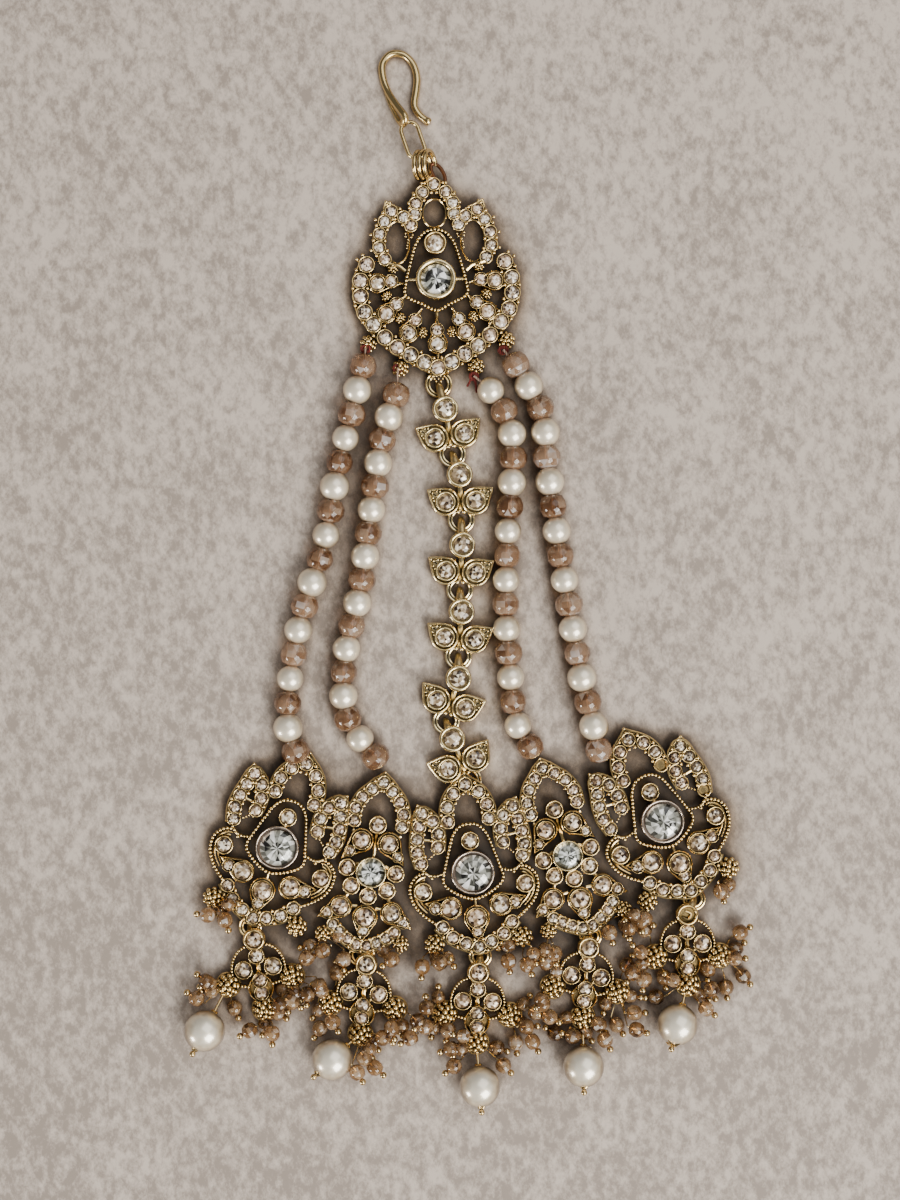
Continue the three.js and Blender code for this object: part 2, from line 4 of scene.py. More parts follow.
import bpy
import numpy as np
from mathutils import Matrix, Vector

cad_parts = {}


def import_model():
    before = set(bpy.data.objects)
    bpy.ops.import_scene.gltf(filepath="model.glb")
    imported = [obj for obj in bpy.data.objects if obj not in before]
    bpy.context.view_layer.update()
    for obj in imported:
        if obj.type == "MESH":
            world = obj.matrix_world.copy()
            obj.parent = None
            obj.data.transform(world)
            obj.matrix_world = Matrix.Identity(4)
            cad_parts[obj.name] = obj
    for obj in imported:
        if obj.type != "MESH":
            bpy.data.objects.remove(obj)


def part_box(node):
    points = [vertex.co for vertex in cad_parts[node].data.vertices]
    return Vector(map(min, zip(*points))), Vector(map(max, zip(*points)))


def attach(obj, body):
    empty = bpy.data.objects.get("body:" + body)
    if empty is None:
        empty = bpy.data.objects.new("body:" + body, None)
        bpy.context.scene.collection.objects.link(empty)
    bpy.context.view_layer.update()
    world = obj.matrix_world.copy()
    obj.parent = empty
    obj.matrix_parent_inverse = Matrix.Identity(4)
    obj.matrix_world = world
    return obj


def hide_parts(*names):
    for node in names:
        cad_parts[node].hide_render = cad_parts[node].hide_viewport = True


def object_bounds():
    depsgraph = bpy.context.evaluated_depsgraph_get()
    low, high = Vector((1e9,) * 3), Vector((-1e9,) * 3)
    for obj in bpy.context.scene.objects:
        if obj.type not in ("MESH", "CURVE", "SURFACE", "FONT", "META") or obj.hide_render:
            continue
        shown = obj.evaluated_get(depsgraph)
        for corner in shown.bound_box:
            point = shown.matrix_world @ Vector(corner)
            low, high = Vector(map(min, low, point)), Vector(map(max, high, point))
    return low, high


# The looks of a jhoomar: pierced gilt medallions set with stones, a chain of links, strings of beads, drops
# and a hook. Every form is made in millimetres, in a layout whose origin is the middle stone of the centre
# medallion, with x to the right and y towards the hook, and is put where the frame has that stone.

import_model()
cad_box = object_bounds()

MM = 0.001
luck = random.Random(11)
low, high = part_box("stone_centre")
LAYOUT_ORIGIN = ((low.x + high.x) / 2, (low.y + high.y) / 2)

# ---- sizes ----

STRIP_TOP = 1.75            # top of the strips that the small stones are set in
STRIP_BOTTOM = 0.35
GRAIN = 0.33                # radius of a grain of the rope edges
OVER_RING = 1.2             # height at which a setting that lies over a ring starts
LINK_RING = (0, -7.2, 2.2)  # x, y and outer radius
PEARL = 2.28                # radius of a strand's pearls, which differ a little
CRYSTAL = 2.22              # and of its crystals
CRYSTAL_HALF = 1.95         # half a crystal's length
BEADS_PER_STRETCH = 3       # beads in each of the frame's solids
DROP_PEARL = 3.3            # radius of a drop's pearl
CAP, WIDE_CAP = 0.8, 1.35   # reach of the petals below a drop's pearl
PIN_LEVEL = 0.9             # height at which a head pin meets its flower
WIRE_LEVEL = 2.1            # height of the hook's link
PAINTED_GLEAM = 0.50                # the painted share of light of a small stone's facets, on average


# ---- materials ----

WHITE = (1.0, 1.0, 1.0)


def add(tree, kind, inputs=None, **settings):
    """A node of a material, with its settings and its inputs, which are values or other nodes' outputs."""
    made = tree.nodes.new(kind)
    for name, value in settings.items():
        setattr(made, name, value)
    for name, value in (inputs or {}).items():
        if isinstance(value, bpy.types.NodeSocket):
            tree.links.new(value, made.inputs[name])
        else:
            made.inputs[name].default_value = value
    return made


def surface(name, **constants):
    """A new material with constants on its shader's own sockets: it, its nodes, shader, coordinates."""
    material = bpy.data.materials.new(name)
    material.use_nodes = True
    tree = material.node_tree
    shader = tree.nodes["Principled BSDF"]
    for key, value in constants.items():
        shader.inputs[key.replace("_", " ")].default_value = value
    place = add(tree, "ShaderNodeTexCoord").outputs["Object"]
    return material, tree, shader, place


def noise(tree, place, scale, detail=2.0, roughness=0.5):
    settings = {"Vector": place, "Scale": scale, "Detail": detail, "Roughness": roughness}
    return add(tree, "ShaderNodeTexNoise", settings).outputs["Fac"]


def spread(tree, value, from_low, from_high, to_low, to_high):
    """A value carried from one range over to another."""
    ranges = {"From Min": from_low, "From Max": from_high, "To Min": to_low, "To Max": to_high}
    return add(tree, "ShaderNodeMapRange", {"Value": value, **ranges}).outputs["Result"]


def drift(tree, place, amount, *kind):
    """Noise from minus to plus an amount. kind: its scale, detail and roughness."""
    return spread(tree, noise(tree, place, *kind), 0.3, 0.7, -amount, amount)


def combined(tree, operation, first, second, clamp=False):
    return add(tree, "ShaderNodeMath", {0: first, 1: second}, operation=operation, use_clamp=clamp).outputs[0]


def mixed(tree, share, first, second, blend="MIX"):
    """Two colours, the second over the first or multiplied with it, by a share."""
    inputs = {"Factor": share, "A": first, "B": second}
    return add(tree, "ShaderNodeMix", inputs, data_type="RGBA", blend_type=blend).outputs["Result"]


def ramp(tree, value, positions, colours):
    """A colour ramp with a colour at each of its positions."""
    made = add(tree, "ShaderNodeValToRGB", {"Fac": value})
    elements = made.color_ramp.elements
    while len(elements) < len(positions):
        elements.new(0.5)
    for element, position, colour in zip(elements, positions, colours):
        element.position = position
        element.color = (*colour, 1.0)
    return made.outputs["Color"]


def bump(tree, shader, height, strength, distance):
    settings = {"Height": height, "Strength": strength, "Distance": distance}
    tree.links.new(add(tree, "ShaderNodeBump", settings).outputs["Normal"], shader.inputs["Normal"])


def openness(tree, distance, **settings):
    """How open a place is to its surroundings within a distance: 0 deep in a corner, 1 on a ridge."""
    found = add(tree, "ShaderNodeAmbientOcclusion", {"Distance": distance}, samples=8, **settings)
    return found.outputs["AO"]


def gilt(name, bright, deep, rough=(0.17, 0.34), recess=(0.40, 0.84)):
    """Antique gold: bright where it stands out and is rubbed, dark brown in its recesses from oxide and from
    painted shade.

    rough: where it is rubbed, and where it is worn. recess: the openness of its darkest and brightest places.
    """
    material, tree, shader, place = surface(name, Metallic=1.0)
    # Patina and painted shade: how open each place is sets its colour, dark in recesses and bright on ridges.
    rubbed_and_unshaded = spread(tree, openness(tree, 0.6 * MM, only_local=True), *recess, 0.0, 0.95)
    wear_and_shade = combined(tree, "ADD", rubbed_and_unshaded, drift(tree, place, 0.2, 420.0, 3.0, 0.6), clamp=True)
    middle = (0.42 * bright[0], 0.37 * bright[1], 0.28 * bright[2])
    colour = ramp(tree, wear_and_shade, (0.12, 0.5, 0.9), (deep, middle, bright))
    tree.links.new(colour, shader.inputs["Base Color"])
    dull = spread(tree, wear_and_shade, 0.0, 1.0, rough[1] + 0.2, rough[0])
    tree.links.new(dull, shader.inputs["Roughness"])
    bump(tree, shader, noise(tree, place, 2600.0, 3.0, 0.6), 0.25, 0.04 * MM)
    return material


def painted_facet_light(tree, place, uneven, scale, positions, colours):
    """Each facet's colour by its painted share of light, which the mesh gives, with some cloud in it."""
    glint = add(tree, "ShaderNodeAttribute", attribute_name="glint").outputs["Fac"]
    light = combined(tree, "ADD", glint, drift(tree, place, uneven, scale), clamp=True)
    return ramp(tree, light, positions, colours)


def rhinestone(name, tint, colours, rough=0.09):
    """A foil-backed stone under a thin clear coat, its glints and reflections painted into its facets'
    colour.

    tint: what the warm ones among the stones are multiplied with. colours: from a dark facet to a bright one.
    """
    look = {"Metallic": 0.18, "Roughness": rough, "IOR": 1.6, "Coat_Weight": 0.3, "Coat_Roughness": 0.02}
    material, tree, shader, place = surface(name, **look)
    body = painted_facet_light(tree, place, 0.12, 700.0, (0.0, 0.35, 0.7, 1.0), colours)
    warm = add(tree, "ShaderNodeAttribute", attribute_name="tint").outputs["Fac"]
    tree.links.new(mixed(tree, warm, body, (*tint, 1.0), "MULTIPLY"), shader.inputs["Base Color"])
    return material


def cut_glass(name, colours):
    """Faceted tinted glass: painted glints on its facets, painted shade towards its edges. colours: from a
    dark facet to a bright one.
    """
    material, tree, shader, place = surface(name, Roughness=0.07, IOR=1.5, Transmission_Weight=0.65)
    body = painted_facet_light(tree, place, 0.1, 500.0, (0.0, 0.4, 0.8, 1.0), colours)
    # Painted shade: darker where the surface turns away.
    facing = add(tree, "ShaderNodeLayerWeight", {"Blend": 0.3}).outputs["Facing"]
    edge = ramp(tree, facing, (0.2, 0.9), (WHITE, (0.48, 0.34, 0.25)))
    tree.links.new(mixed(tree, 1.0, body, edge, "MULTIPLY"), shader.inputs["Base Color"])
    return material


def nacre(name, uneven, positions, colours):
    """Cream pearl under a soft gloss, with painted shade that makes it greyer, warmer and darker towards its
    edge.

    uneven: how much the body's tone drifts over the pearl. colours: from its middle to its painted dark edge.
    """
    look = {"Roughness": 0.32, "IOR": 1.6, "Metallic": 0.42, "Coat_Weight": 1.0, "Coat_IOR": 1.8,
            "Coat_Roughness": 0.1, "Subsurface_Weight": 0.1, "Subsurface_Radius": (1.0, 0.8, 0.6),
            "Subsurface_Scale": 1 * MM}
    material, tree, shader, place = surface(name, **look)
    # Painted shade: the colour darkens where the surface turns away.
    facing = add(tree, "ShaderNodeLayerWeight", {"Blend": 0.35}).outputs["Facing"]
    edge = combined(tree, "ADD", facing, drift(tree, place, uneven, 260.0, 3.0), clamp=True)
    tree.links.new(ramp(tree, edge, positions, colours), shader.inputs["Base Color"])
    bump(tree, shader, noise(tree, place, 1800.0), 0.05, 0.03 * MM)
    return material


def cotton(name, colour):
    """Twisted thread."""
    material, tree, shader, place = surface(name, Roughness=0.8)
    waves = {"Vector": place, "Scale": 900.0, "Distortion": 3.0}
    twist = add(tree, "ShaderNodeTexWave", waves).outputs["Fac"]
    dark = tuple(c * 0.35 for c in colour)
    tree.links.new(ramp(tree, twist, (0.0, 1.0), (dark, colour)), shader.inputs["Base Color"])
    bump(tree, shader, twist, 0.6, 0.1 * MM)
    return material


def mottle(tree, place):
    """A floor's colour: its own clouds and flecks that run aslant, and painted light that brightens it a
    little towards one corner.
    """
    toward = {0: place, 1: (0.45, 0.9, 0.0)}
    run = add(tree, "ShaderNodeVectorMath", toward, operation="DOT_PRODUCT").outputs["Value"]
    # Painted light: a little brighter towards one corner.
    painted_light_slope = spread(tree, run, -0.09, 0.09, -0.08, 0.08)
    clouds = combined(tree, "ADD", noise(tree, place, 60.0, 6.0, 0.7), painted_light_slope)
    slant = {"Vector": place, "Rotation": (0.0, 0.0, 0.75), "Scale": (1.0, 0.7, 1.0)}
    slanted = add(tree, "ShaderNodeMapping", slant).outputs["Vector"]
    tone = combined(tree, "ADD", clouds, drift(tree, slanted, 0.48, 520.0, 5.0, 0.75))
    return ramp(tree, tone, (0.25, 0.75), ((0.27, 0.220, 0.178), (0.53, 0.447, 0.372)))


def pale_floor(name, medallions, reach):
    """Mottled stone. Closed in by metal it is deep in shade, while beads let the light through to it.

    medallions: their middles. reach: how far from a middle the floor counts as closed in by metal.
    """
    material, tree, shader, place = surface(name, Roughness=0.65)
    light_shade = ramp(tree, openness(tree, 4 * MM), (0.0, 0.3, 0.5, 0.72), [
        (0.05, 0.037, 0.025), (0.22, 0.18, 0.14), (0.58, 0.52, 0.45), WHITE])
    deep_shade = ramp(tree, openness(tree, 8 * MM), (0.0, 0.35, 0.65, 0.82, 1.0), [
        (0.025, 0.017, 0.010), (0.09, 0.068, 0.042), (0.22, 0.175, 0.125), (0.60, 0.54, 0.47), WHITE])
    beyond = 1.0
    for middle in medallions:
        apart = {0: place, 1: (*middle, 0.0)}
        away = add(tree, "ShaderNodeVectorMath", apart, operation="DISTANCE").outputs["Value"]
        beyond = combined(tree, "MULTIPLY", beyond, spread(tree, away, *reach, 0.0, 1.0))
    shade = mixed(tree, beyond, deep_shade, light_shade)
    tree.links.new(mixed(tree, 1.0, mottle(tree, place), shade, "MULTIPLY"), shader.inputs["Base Color"])
    bump(tree, shader, noise(tree, place, 600.0, 3.0), 0.12, 0.3 * MM)
    return material


# The golds: their deep colours stand for oxide and for painted shade in their recesses.
GOLD = gilt("antique_gold", (0.90, 0.66, 0.29), (0.016, 0.009, 0.003), recess=(0.46, 0.88))
LINK_GOLD = gilt("link_gold", (0.93, 0.75, 0.40), (0.06, 0.042, 0.016), recess=(0.28, 0.72))
WIRE_GOLD = gilt("wire_gold", (0.66, 0.49, 0.22), (0.10, 0.06, 0.02), recess=(0.3, 0.75))
PIN_GOLD = gilt("pin_gold", (0.66, 0.48, 0.23), (0.05, 0.03, 0.01), recess=(0.35, 0.8))
ROSE_METAL = gilt("rose_metal", (0.72, 0.58, 0.46), (0.10, 0.07, 0.05), recess=(0.2, 0.6))
COPPER = gilt("copper_wire", (0.155, 0.066, 0.034), (0.04, 0.015, 0.009), (0.35, 0.5), (0.2, 0.6))
PEG_BRASS = gilt("peg_brass", (0.42, 0.31, 0.15), (0.08, 0.055, 0.025), (0.42, 0.55))
# Stones and crystals: colours from a dark facet to a bright one, chosen by each facet's painted glint.
PAVE = rhinestone("pave_stone", (1.0, 0.87, 0.82), [
    (0.025, 0.014, 0.007), (0.13, 0.088, 0.048), (0.46, 0.35, 0.21), (1.0, 0.91, 0.73)])
PALE_PAVE = rhinestone("pale_pave_stone", (1.0, 0.87, 0.84), [
    (0.026, 0.016, 0.009), (0.16, 0.115, 0.068), (0.58, 0.455, 0.29), (1.0, 0.94, 0.80)])
CLEAR = rhinestone("clear_stone", (0.95, 0.98, 1.0), [
    (0.012, 0.012, 0.010), (0.15, 0.15, 0.125), (0.56, 0.56, 0.49), (1.0, 0.99, 0.94)], 0.06)
PEACH = cut_glass("peach_crystal", [
    (0.20, 0.088, 0.036), (0.48, 0.28, 0.155), (0.70, 0.49, 0.33), (0.88, 0.76, 0.68)])
CHAMPAGNE = cut_glass("champagne_crystal", [
    (0.07, 0.028, 0.007), (0.38, 0.205, 0.08), (0.69, 0.47, 0.26), (1.0, 0.93, 0.84)])
# Pearls: colours from the middle out to a painted dark, warm edge.
NACRE = nacre("pearl", 0.16, (0.0, 0.34, 0.66, 1.0), [
    (0.90, 0.80, 0.62), (0.74, 0.62, 0.43), (0.32, 0.225, 0.125), (0.15, 0.10, 0.055)])
LARGE_NACRE = nacre("large_pearl", 0.22, (0.0, 0.2, 0.5, 1.0), [
    (0.95, 0.86, 0.68), (0.66, 0.55, 0.385), (0.24, 0.17, 0.095), (0.07, 0.045, 0.025)])
THREAD = cotton("thread", (0.50, 0.34, 0.24))
RED_THREAD = cotton("red_thread", (0.20, 0.018, 0.010))


# ---- mesh making ----

def in_frame(place):
    """A place of the layout in the frame, in metres."""
    return (LAYOUT_ORIGIN[0] + place[0] * MM, LAYOUT_ORIGIN[1] + place[1] * MM)


def turned(point, degrees):
    angle = math.radians(degrees)
    x, y = point
    return np.array([x * math.cos(angle) - y * math.sin(angle), x * math.sin(angle) + y * math.cos(angle)])


def in_layout(at, turn, point):
    """Where a point of a form lies in the layout, with the form at a place and turned."""
    return np.array(at) + turned(point, turn)


def seen_from(at, turn, point):
    """Where a point of the layout lies in a form."""
    return turned(np.array(point) - np.array(at), -turn)


class Body:
    """Gathers closed shapes, in millimetres, into one mesh."""

    def __init__(self):
        self.points, self.faces, self.smooth, self.glints, self.tints = [], [], [], [], []

    def add(self, points, faces, smooth=True, glints=None, tint=0.0):
        start = len(self.points)
        self.points.extend(tuple(p) for p in points)
        self.faces.extend(tuple(start + i for i in face) for face in faces)
        self.smooth.extend([smooth] * len(faces))
        self.glints.extend(glints or [0.5] * len(faces))
        self.tints.extend([tint] * len(faces))

    def piece(self, name, material, slot, at=(0.0, 0.0), turn=0.0, stands_for=()):
        """The finished object, riding on the frame."""
        mesh = bpy.data.meshes.new(name)
        mesh.from_pydata([(x * MM, y * MM, z * MM) for x, y, z in self.points], [], self.faces)
        mesh.polygons.foreach_set("use_smooth", self.smooth)
        # The faces' painted glints and their warmth, for the materials to read.
        for key, values in (("glint", self.glints), ("tint", self.tints)):
            mesh.attributes.new(key, "FLOAT", "FACE").data.foreach_set("value", values)
        mesh.set_sharp_from_angle(angle=math.radians(42))
        mesh.materials.append(material)
        made = bpy.data.objects.new(name, mesh)
        made.location = (*in_frame(at), 0.0)
        made.rotation_euler = (0.0, 0.0, math.radians(turn))
        bpy.context.scene.collection.objects.link(made)
        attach(made, "root")
        if stands_for:
            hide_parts(*stands_for)


def circle(count, radius=1.0, phase=0.0):
    angles = np.arange(count) * 2 * math.pi / count + phase
    return np.stack([radius * np.cos(angles), radius * np.sin(angles)], axis=1)


def oval(x, y, half_width, half_length, count):
    return [(x + half_width * c, y + half_length * s) for c, s in circle(count)]


def raised(points, level):
    """Flat points at a height."""
    return [(*p, level) for p in points]


def square_to(aim):
    """Two directions square to an aim and to each other, the first of them level."""
    side = np.cross(aim, (0.0, 0.0, 1.0))
    side /= np.linalg.norm(side)
    return side, np.cross(side, aim)


def spline(points, steps, closed=False):
    """A smooth curve through points: a centripetal Catmull-Rom spline. steps: from each point to the next."""
    points = [np.array(p, float) for p in points]
    if closed:
        padded = [points[-1], *points, points[0], points[1]]
    else:
        padded = [2 * points[0] - points[1], *points, 2 * points[-1] - points[-2]]
    curve = []
    for p0, p1, p2, p3 in zip(padded, padded[1:], padded[2:], padded[3:]):
        t1 = math.sqrt(max(np.linalg.norm(p1 - p0), 1e-9))
        t2 = t1 + math.sqrt(max(np.linalg.norm(p2 - p1), 1e-9))
        t3 = t2 + math.sqrt(max(np.linalg.norm(p3 - p2), 1e-9))
        for step in range(steps):
            t = t1 + (t2 - t1) * step / steps
            a1 = p0 * (t1 - t) / t1 + p1 * t / t1
            a2 = p1 * (t2 - t) / (t2 - t1) + p2 * (t - t1) / (t2 - t1)
            a3 = p2 * (t3 - t) / (t3 - t2) + p3 * (t - t2) / (t3 - t2)
            b1 = a1 * (t2 - t) / t2 + a2 * t / t2
            b2 = a2 * (t3 - t) / (t3 - t1) + a3 * (t - t1) / (t3 - t1)
            curve.append(b1 * (t2 - t) / (t2 - t1) + b2 * (t - t1) / (t2 - t1))
    if not closed:
        curve.append(points[-1])
    return np.array(curve)


def measured(path, closed=False):
    """The length along a path at each of its points, with the first point added again if it is closed."""
    path = np.array(path, float)
    if closed:
        path = np.vstack([path, path[:1]])
    lengths = np.concatenate([[0.0], np.cumsum(np.linalg.norm(np.diff(path, axis=0), axis=1))])
    return path, lengths


def at_length(path, lengths, run):
    return np.array([np.interp(run, lengths, path[:, axis]) for axis in range(path.shape[1])])


def evenly(path, pitch, closed=False):
    """Points along a path, about a pitch apart."""
    path, lengths = measured(path, closed)
    count = max(2, round(lengths[-1] / pitch) + (0 if closed else 1))
    runs = np.arange(count) * lengths[-1] / (count if closed else count - 1)
    return [at_length(path, lengths, run) for run in runs]


def rings_of(body, rings, wraps=False, smooth=True):
    """Skins a row of rings that all have the same number of points. It ends on caps unless it wraps round."""
    count, rows = len(rings[0]), len(rings)
    points = [p for ring in rings for p in ring]
    faces = []
    for r in range(rows if wraps else rows - 1):
        here, there = r * count, ((r + 1) % rows) * count
        for i in range(count):
            j = (i + 1) % count
            faces.append((here + i, here + j, there + j, there + i))
    if not wraps:
        faces.append(tuple(range(count))[::-1])
        faces.append(tuple((rows - 1) * count + i for i in range(count)))
    body.add(points, faces, smooth)


def lathe(body, profile, x, y, sides):
    """A round, upright form from (radius, z) points, which close on themselves or end on flat caps."""
    wraps = profile[0] == profile[-1]
    rows = profile[:-1] if wraps else profile
    rings_of(body, [raised(oval(x, y, r, r, sides), z) for r, z in rows], wraps)


def headings(path, closed):
    """The direction of a path at each of its points."""
    if closed:
        ahead, behind = np.roll(path, -1, axis=0), np.roll(path, 1, axis=0)
    else:
        ahead, behind = np.vstack([path[1:], path[-1:]]), np.vstack([path[:1], path[:-1]])
    ways = ahead - behind
    return ways / np.linalg.norm(ways, axis=1)[:, None]


def tube(body, path, radius, sides=8, closed=False):
    """A round wire along a path. radius is one number, or one for each point."""
    path = np.array(path, float)
    ways = headings(path, closed)
    start = (0.0, 0.0, 1.0) if abs(ways[0][2]) < 0.9 else (1.0, 0.0, 0.0)
    side = np.cross(ways[0], start)
    rings = []
    for point, along, r in zip(path, ways, np.broadcast_to(radius, len(path))):
        side = side - along * np.dot(side, along)
        side /= np.linalg.norm(side)
        up = np.cross(along, side)
        rings.append([point + r * (c * side - s * up) for c, s in circle(sides)])
    rings_of(body, rings, closed)


def beside(path, offset, closed=False):
    """The points that lie to the left of a flat path."""
    path = np.array(path, float)
    ways = headings(path, closed)
    return path + offset * np.stack([-ways[:, 1], ways[:, 0]], axis=1)


def ribbon(body, path, section, closed=False):
    """A flat strip along a path. section: (offset to the left, z) points, anticlockwise seen along it."""
    sides = [(beside(path, offset, closed), z) for offset, z in section]
    rings_of(body, [[(*points[i], z) for points, z in sides] for i in range(len(path))], closed)


def ball_template(sides, rows):
    """The points and faces of a ball of radius 1, with its poles above and below."""
    points = [(0.0, 0.0, 1.0)]
    for row in range(1, rows):
        angle = math.pi * row / rows
        points.extend((math.sin(angle) * c, math.sin(angle) * s, math.cos(angle)) for c, s in circle(sides))
    points.append((0.0, 0.0, -1.0))
    turns = [(i, (i + 1) % sides) for i in range(sides)]
    faces = [(0, 1 + i, 1 + j) for i, j in turns]
    for row in range(rows - 2):
        here, there = 1 + row * sides, 1 + (row + 1) * sides
        faces.extend((here + i, there + i, there + j, here + j) for i, j in turns)
    last = 1 + (rows - 2) * sides
    faces.extend((last + j, last + i, len(points) - 1) for i, j in turns)
    return np.array(points), faces


GRAIN_BALL = ball_template(8, 5)
PIN_BALL = ball_template(12, 8)
PEARL_PIN_BALL = ball_template(14, 9)
FINE_BALL = ball_template(28, 18)


def ball(body, x, y, z, radius, template=GRAIN_BALL):
    points, faces = template
    body.add(points * radius + (x, y, z), faces)


def tray(body, outline, bottom, top, rim, floor):
    """A plate with a raised, rounded rim. The outline runs anticlockwise."""
    levels = [(0.0, bottom), (0.0, top - 0.2), (rim * 0.2, top - 0.05), (rim * 0.5, top),
              (rim * 0.8, top - 0.05), (rim, top - 0.2), (rim, floor)]
    rings = [raised(beside(outline, offset, closed=True), z) for offset, z in levels]
    middle = np.mean(outline, axis=0)
    hub = [(*(middle + (np.array(p[:2]) - middle) * 0.05), floor) for p in rings[-1]]
    rings_of(body, [*rings, hub])


# ---- stones and settings ----

def glints(count, bright, contrast, waves=0):
    """Each facet's painted share of light: it swings round the stone, with some luck in it."""
    swing = [0.6 * contrast * math.cos(2 * math.pi * waves * i / count) for i in range(count)]
    return [min(1.0, max(0.0, bright + w + luck.gauss(0, contrast))) for w in swing]


def stone(body, x, y, z, radius, bright=PAINTED_GLEAM, tint=None):
    """A small round brilliant: a star of facets, a crown and a point below, each facet with a painted share
    of light. tint: its warmth, or by luck.
    """
    facets, contrast = 8, 0.36
    turn = luck.uniform(0, math.pi)
    half = math.pi / facets
    heart = [(0.0, 0.0, 0.26)]
    table = raised(circle(facets, 0.5, turn + half), 0.28)
    crown = raised(circle(facets, 0.80, turn), 0.18)
    girdle = raised(circle(2 * facets, 1.0, turn), 0.0)
    foot = [(0.0, 0.0, -0.55)]
    points = np.array(heart + table + crown + girdle + foot) * radius + (x, y, z)
    b, c, d = 1, 1 + facets, 1 + 2 * facets
    e = d + 2 * facets
    ring = range(facets)
    star = [(0, b + i, b + (i + 1) % facets) for i in ring]
    kites = [(b + (i - 1) % facets, c + i, b + i) for i in ring]
    wide = [(b + i, c + i, d + 2 * i + 1, c + (i + 1) % facets) for i in ring]
    rim = [(c + i, d + 2 * i, d + 2 * i + 1) for i in ring]
    rim += [(c + i, d + (2 * i - 1) % (2 * facets), d + 2 * i) for i in ring]
    below = [(d + (i + 1) % (2 * facets), d + i, e) for i in range(2 * facets)]
    # Each ring of facets gets its painted share of light.
    light = glints(facets, bright + 0.14, contrast, 3) + glints(facets, bright, contrast)
    light += glints(facets, bright - 0.06, contrast, 2) + glints(2 * facets, bright - 0.3, contrast * 0.7)
    light += [0.3] * len(below)
    faces = star + kites + wide + rim + below
    body.add(points, faces, smooth=False, glints=light, tint=luck.random() if tint is None else tint)


def main_stone(body, x, y, z, radius, bright, contrast, flash, tint):
    """A large brilliant, with long wedges of painted light and dark about its heart.

    flash: the direction, in degrees, of its painted highlight.
    """
    count = 16
    turn = luck.uniform(0, math.pi)
    step = 2 * math.pi / count
    heart = [(0.0, 0.0, 0.25)]
    star = raised([p * (0.30 if i % 2 else 0.40) for i, p in enumerate(circle(count, 1.0, turn))], 0.27)
    wedge = raised(circle(count, 0.72, turn + step / 2), 0.22)
    girdle = raised(circle(2 * count, 1.0, turn), 0.0)
    foot = [(0.0, 0.0, -0.4)]
    points = np.array(heart + star + wedge + girdle + foot) * radius + (x, y, z)
    b, c, d = 1, 1 + count, 1 + 2 * count
    e = d + 2 * count
    ring = range(count)
    inner = [(0, b + i, b + (i + 1) % count) for i in ring]
    outward = [(b + i, c + i, b + (i + 1) % count) for i in ring]
    inward = [(b + i, c + (i - 1) % count, c + i) for i in ring]
    wide = [(c + i, d + 2 * i + 1, d + (2 * i + 2) % (2 * count), c + (i + 1) % count) for i in ring]
    rim = [(c + i, d + 2 * i, d + 2 * i + 1) for i in ring]
    below = [(d + (i + 1) % (2 * count), d + i, e) for i in range(2 * count)]
    light = glints(count, bright, contrast, 5) + glints(count, bright, contrast, 3)
    light += glints(count, bright, contrast, 7) + glints(count, bright, contrast * 0.7, 4)
    light += glints(count, bright - 0.1, contrast)
    # A painted highlight on two facets towards the flash.
    bright_one = round((math.radians(flash) - turn) / step - 1) % count
    light[3 * count + bright_one] = 1.0
    light[2 * count + (bright_one + 1) % count] = 1.0
    light += [0.3] * len(below)
    body.add(points, inner + outward + inward + wide + rim + below, smooth=False, glints=light, tint=tint)


def lip(outer, inner, top, steps):
    """The rounded edge of a cup from outside to inside, as (radius, z) points."""
    half = (outer - inner) / 2
    bend = np.linspace(0, math.pi, steps)
    return [(inner + half + half * math.cos(a), top - half + half * math.sin(a)) for a in bend]


def collar(body, x, y, outer, inner, bottom, top, sides=24):
    """A round collar with a rounded lip and a floor for its stone."""
    seat, edge = top - 0.6, lip(outer, inner, top, 6)
    profile = [(outer * 0.93, bottom), (outer, bottom + 0.2), *edge, (inner, seat), (0.02, seat)]
    lathe(body, profile, x, y, sides)


def setting(metal, gems, x, y, outer, glass, bottom=STRIP_BOTTOM, top=STRIP_TOP + 0.25, **look):
    """A stone in its round collar."""
    collar(metal, x, y, outer, glass + 0.08, bottom, top)
    stone(gems, x, y, top - 0.3, glass - 0.07, **look)


def on_side(side, places):
    """Places given for the right side, there for 1, or mirrored to the left for -1."""
    return [(side * x, y) for x, y in places]


def both(places):
    """A half row, given from the centre line outwards, carried on over both sides."""
    middle = [p for p in places if p[0] == 0]
    rest = [p for p in places if p[0] != 0]
    return on_side(-1, rest)[::-1] + middle + rest


def prongs(metal, here, there, reach):
    """Two grains that hold two neighbouring stones, one at each side of their row."""
    here, there = np.array(here, float), np.array(there, float)
    along = (there - here) / max(np.linalg.norm(there - here), 1e-6)
    across = np.array([-along[1], along[0]]) * reach
    for point in ((here + there) / 2 + across, (here + there) / 2 - across):
        ball(metal, *point, STRIP_TOP + 0.14, 0.3)


